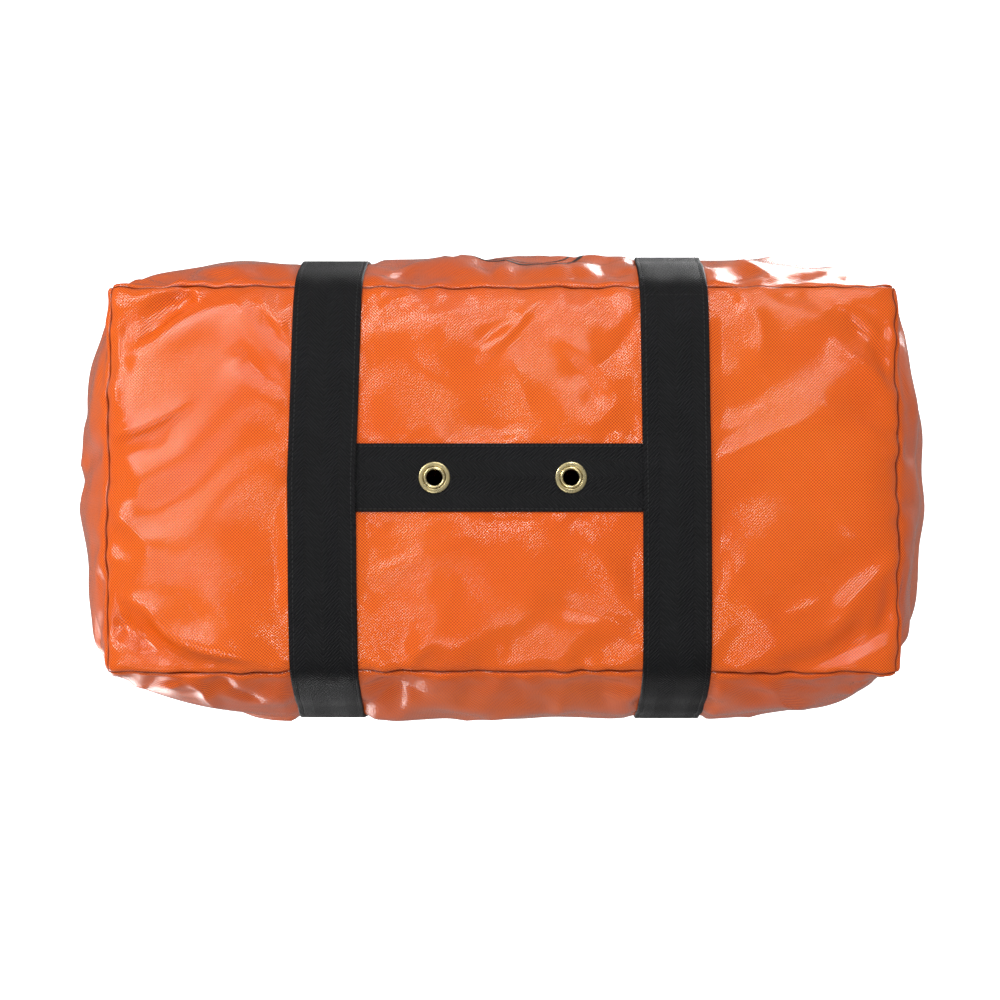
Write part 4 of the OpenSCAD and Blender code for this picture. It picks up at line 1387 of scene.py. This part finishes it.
def build_end_tab(side, hand):
    """A tab of fabric over the end of the zip, with round outer corners and a rolled inner edge."""
    low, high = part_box(f"{hand}_zip_end_tab")
    near, far = (low.x, high.x) if side > 0 else (high.x, low.x)
    length, half_w = abs(far - near), high.y
    corner = 8 * MM
    verts, uvs, faces = [], [], []
    nx, ny = 22, 26
    for i in range(nx + 1):
        u = i / nx
        depth = length * u
        past = max(0.0, depth - (length - corner))
        width = half_w - (corner - math.sqrt(max(corner ** 2 - past ** 2, 0)))
        for j in range(ny + 1):
            y = width * (2 * j / ny - 1)
            place, normal = over(near + side * depth, y)
            roll = 0.9 * MM * math.exp(-(depth / (1.6 * MM)) ** 2)
            edge = min(depth, half_w - abs(y), length - depth)
            swell = 0.35 * MM * math.exp(-((edge - 5 * MM) / (3 * MM)) ** 2)
            verts.append(place + normal * (0.25 * MM + roll * 0.4 + swell))
            uvs.append((depth, y + half_w))
    step = ny + 1
    for i in range(nx):
        a, b = i * step, (i + 1) * step
        faces += [(a + j, b + j, b + j + 1, a + j + 1) for j in range(ny)]
    obj = thicken(new_object(f"{hand}_end_tab_cloth", verts, faces, FABRIC, uvs), FABRIC_T, side)
    fix_normals(obj)
    own(obj, "bag", f"{hand}_zip_end_tab")
    inset = 3 * MM
    x0, x1, w = near + side * inset, far - side * inset, half_w - inset
    x2 = x1 - side * corner
    loop = np.array([(x0, -w), (x2, -w), (x1, -w + corner), (x1, w - corner), (x2, w), (x0, w), (x0, -w)])
    line = np.concatenate([np.linspace(a, b, 14)[:-1] for a, b in zip(loop, loop[1:])])
    spots = [over(x, y) for x, y in line]
    places = np.array([p + n * (FABRIC_T + 0.4 * MM) for p, n in spots])
    own(stitches(f"{hand}_end_tab_stitching", [(places, np.array([n for p, n in spots]))]), "bag")


build_end_tab(-1, "left")
build_end_tab(1, "right")


# ---------------------------------------------------------------- slider and pull
PIN = JOINT["pull_swing"]["pos_m"]


def build_slider():
    """Two shaped plates with turned-in flanges, a post between them, and a bridge that holds the pull."""
    middle = (SLIDER_LO.x + SLIDER_HI.x) / 2
    half_len = (SLIDER_HI.x - SLIDER_LO.x) / 2
    half_wid = SLIDER_HI.y
    wall = 1.5 * MM
    top = ZIP_Z + (ZIP_Z - SLIDER_LO.z)
    outline = []
    for t in np.linspace(0, math.tau, 72, endpoint=False):
        c, s = math.cos(t), math.sin(t)
        square = (abs(c) ** 3.2 + abs(s) ** 3.2) ** (-1 / 3.2)
        outline.append((middle + half_len * square * c, half_wid * square * s * (0.93 - 0.07 * c)))
    parts = []
    for z0, z1 in ((top - wall, top), (SLIDER_LO.z, SLIDER_LO.z + wall)):
        parts.append(plate("plate", [outline], z0, z1, 0.35 * MM, NICKEL))
    for s in (-1, 1):
        y0, y1 = sorted((s * (half_wid - 1.6 * MM), s * (half_wid - 0.25 * MM)))
        for z0, z1 in ((ZIP_Z + 0.8 * MM, top - 0.4 * MM), (SLIDER_LO.z + 0.4 * MM, ZIP_Z - 0.8 * MM)):
            low, high = (middle - 6 * MM, y0, z0), (middle + 6 * MM, y1, z1)
            parts.append(block("flange", low, high, 0.4 * MM, NICKEL))
    low = (middle - 1.5 * MM, -0.3 * MM, SLIDER_LO.z + 0.5 * MM)
    parts.append(block("post", low, (middle + 1.5 * MM, 0.3 * MM, top - 0.5 * MM), 0.12 * MM, NICKEL))
    half_span, rise = 4.4 * MM, SLIDER_HI.z - top - 0.6 * MM
    turn = 1.3 * MM
    path = [(half_span, -0.5 * MM)]
    path += [(half_span - turn + x, rise - turn + z) for x, z in arc(0, 0, turn, 0, 90, 8)]
    path += [(-x, z) for x, z in reversed(path)]
    line = np.array([(middle + x, 0, top + z) for x, z in path])
    places, sides, normals, at = line_frames(line, 0.35 * MM, Vector((0, 1, 0)))
    section = web_section(3 * MM, 1.2 * MM, 0) - (0, 0.6 * MM)
    parts.append(sweep("bridge", places, sides, normals, at, section, NICKEL))
    own(join("slider_body", parts), "slider", "zip_slider")


def build_pull():
    """A flat pull: a cross bar in the slider's bridge, two arms, and a ribbed tongue with a cord hole."""
    x0, z0 = PIN[0], PIN[2]
    half_t = (PULL_HI.z - PULL_LO.z) / 2
    tip = PULL_HI.x
    wide = PULL_HI.y
    eye_half = 3.5 * MM
    neck = x0 + 8 * MM

    def rounded(points, radius_steps):
        return [p for x, y, r, a, b in points for p in arc(x, y, r, a, b, radius_steps)]

    outer = rounded([(tip - wide, 0, wide, -90, 90)], 24)
    outer += [(neck + 3 * MM, wide)] + rounded([(x0 + 1.0 * MM, eye_half - 1.4 * MM, 1.5 * MM, 90, 180)], 7)
    outer += [(x, -y) for x, y in reversed(outer[24:])]
    right, left, half_gap = neck - 2.2 * MM, x0 + 1.3 * MM, 1.1 * MM
    window = rounded([(right, half_gap, 0.8 * MM, 0, 90), (left, half_gap, 0.8 * MM, 90, 180),
                      (left, -half_gap, 0.8 * MM, 180, 270), (right, -half_gap, 0.8 * MM, 270, 360)], 6)
    hole = arc(tip - wide, 0, wide / 2, 0, 345, 24)
    parts = [plate("tongue", [outer, window, hole], z0 - half_t, z0 + half_t, 0.3 * MM, NICKEL)]
    for k in range(6):
        x = neck + (6 + 2.6 * k) * MM
        for s in (-1, 1):
            low = (x, -wide + 2 * MM, z0 + s * half_t - 0.18 * MM)
            high = (x + 1.1 * MM, wide - 2 * MM, z0 + s * half_t + 0.18 * MM)
            parts.append(block("rib", low, high, 0.16 * MM, NICKEL))
    own(join("pull_tab", parts), "pull", "zip_pull")


build_slider()
build_pull()


# ---------------------------------------------------------------- carrying handles
HANDLE_LEAN = math.radians(8)            # towards the bag's middle
HANDLE_BEND = 65 * MM                    # radius of each handle's upper corners
GRIP_L = 100 * MM
FOLD_R = 1.3 * MM                        # radius of the fold along the grip
HANDLE_ROOT = 8 * MM                     # length of each handle's end that is hidden inside a strap


def folded(section, share):
    """The webbing's cross-section with its lower half folded over by this share of half a turn."""
    beta = max(share * math.pi, 1e-4)
    reach = FOLD_R * math.pi / 2 + (1 - share) * 9 * MM
    across, out = section[:, 0], section[:, 1] - STRAP_T / 2
    q = np.maximum(reach - across, 0)
    turned = np.minimum(q, 2 * reach)
    angle = beta * turned / (2 * reach)
    r = 2 * reach / beta
    x = np.where(q > 0, reach - r * np.sin(angle), across) - np.cos(beta) * (q - turned)
    h = r * (1 - np.cos(angle)) + np.sin(beta) * (q - turned)
    x = np.where(q > 0, np.minimum(x + out * np.sin(angle), across.max() - 0.6 * MM), across)
    return np.stack([x - share * WEB_W / 4, h + out * np.cos(angle) + STRAP_T / 2], axis=1)


def build_handle(half, word):
    """A loop of webbing that carries on from the straps' top ends, folded in half and sewn at the grip."""
    origin = JOINT[f"{word}_handle_swing"]["pos_m"]
    rise = (HANDLE_HI.z - origin[2]) / math.cos(HANDLE_LEAN) - WEB_W / 2
    bend_x, bend_u = STRAP_X - HANDLE_BEND, rise - HANDLE_BEND
    path = [(STRAP_X, u) for u in np.linspace(-HANDLE_ROOT, bend_u, 40)]
    path += [(bend_x + x, bend_u + u) for x, u in arc(0, 0, HANDLE_BEND, 0, 90, 40)]
    path += [(x, rise) for x in np.linspace(bend_x, 0, 30)]
    path = np.array(path + [(-x, u) for x, u in reversed(path[:-1])])
    lengths = run_lengths(path)
    at = np.linspace(0, lengths[-1], 181)
    line = sample(at, lengths, path)
    tangent = unit(np.gradient(line, axis=0))
    up = np.array((0, half * math.sin(HANDLE_LEAN), math.cos(HANDLE_LEAN)))
    inward = np.array((0, half * math.cos(HANDLE_LEAN), -math.sin(HANDLE_LEAN)))
    along_x = np.array((1.0, 0, 0))
    upright = np.array((0, 0, 1.0))
    above, below = np.maximum(line[:, 1:], 0), np.minimum(line[:, 1:], 0)
    places = np.array(origin) + line[:, :1] * along_x + above * up + below * upright
    sides = tangent[:, 1:] * along_x - tangent[:, :1] * up
    normals = np.repeat(inward[None], len(at), axis=0)
    section = web_section(WEB_W, STRAP_T)
    from_middle = np.abs(at - at[-1] / 2)
    shares = 1 - smooth_step(from_middle, GRIP_L / 2 + 2 * MM, GRIP_L / 2 + 84 * MM)
    loops = np.array([folded(section, s) for s in shares])
    root = line[:, 1] < 0
    loops[root] = (loops[root] - (0, STRAP_T / 2)) * (0.98, 0.6) + (0, STRAP_T / 2)
    obj = sweep(f"{word}_handle_webbing", places, sides, normals, at, loops, WEBBING, section[:, 0])
    tie_handle(obj, word, origin, f"{word}_handle")
    grip = from_middle < GRIP_L / 2
    p, s, n = places[grip], sides[grip], normals[grip]
    rows = []
    edge = WEB_W / 4 - 3.5 * MM
    for out, face in ((-0.02 * MM, -1), (2 * STRAP_T + 0.42 * MM, 1)):
        rows += [(p + off * s + out * n, face * n) for off in (edge, -edge)]
        for k in (0, -1):
            spots, facing = bar(p[k], s[k], n[k], edge, out, 10)
            rows.append((spots, face * facing))
        slant = np.linspace(-edge, edge, 12)[:, None] * s[:12]
        for end in (p[:12], p[-12:]):
            rows += [(end + sign * slant + out * n[:12], face * n[:12]) for sign in (1, -1)]
    tie_handle(stitches(f"{word}_handle_stitching", rows), word, origin)


def tie_handle(obj, word, origin, *nodes):
    """One handle piece: hides the CAD nodes that it replaces and bakes its transform."""
    stand_for(obj, *nodes)
    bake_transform(obj)


build_handle(1, "front")
build_handle(-1, "rear")
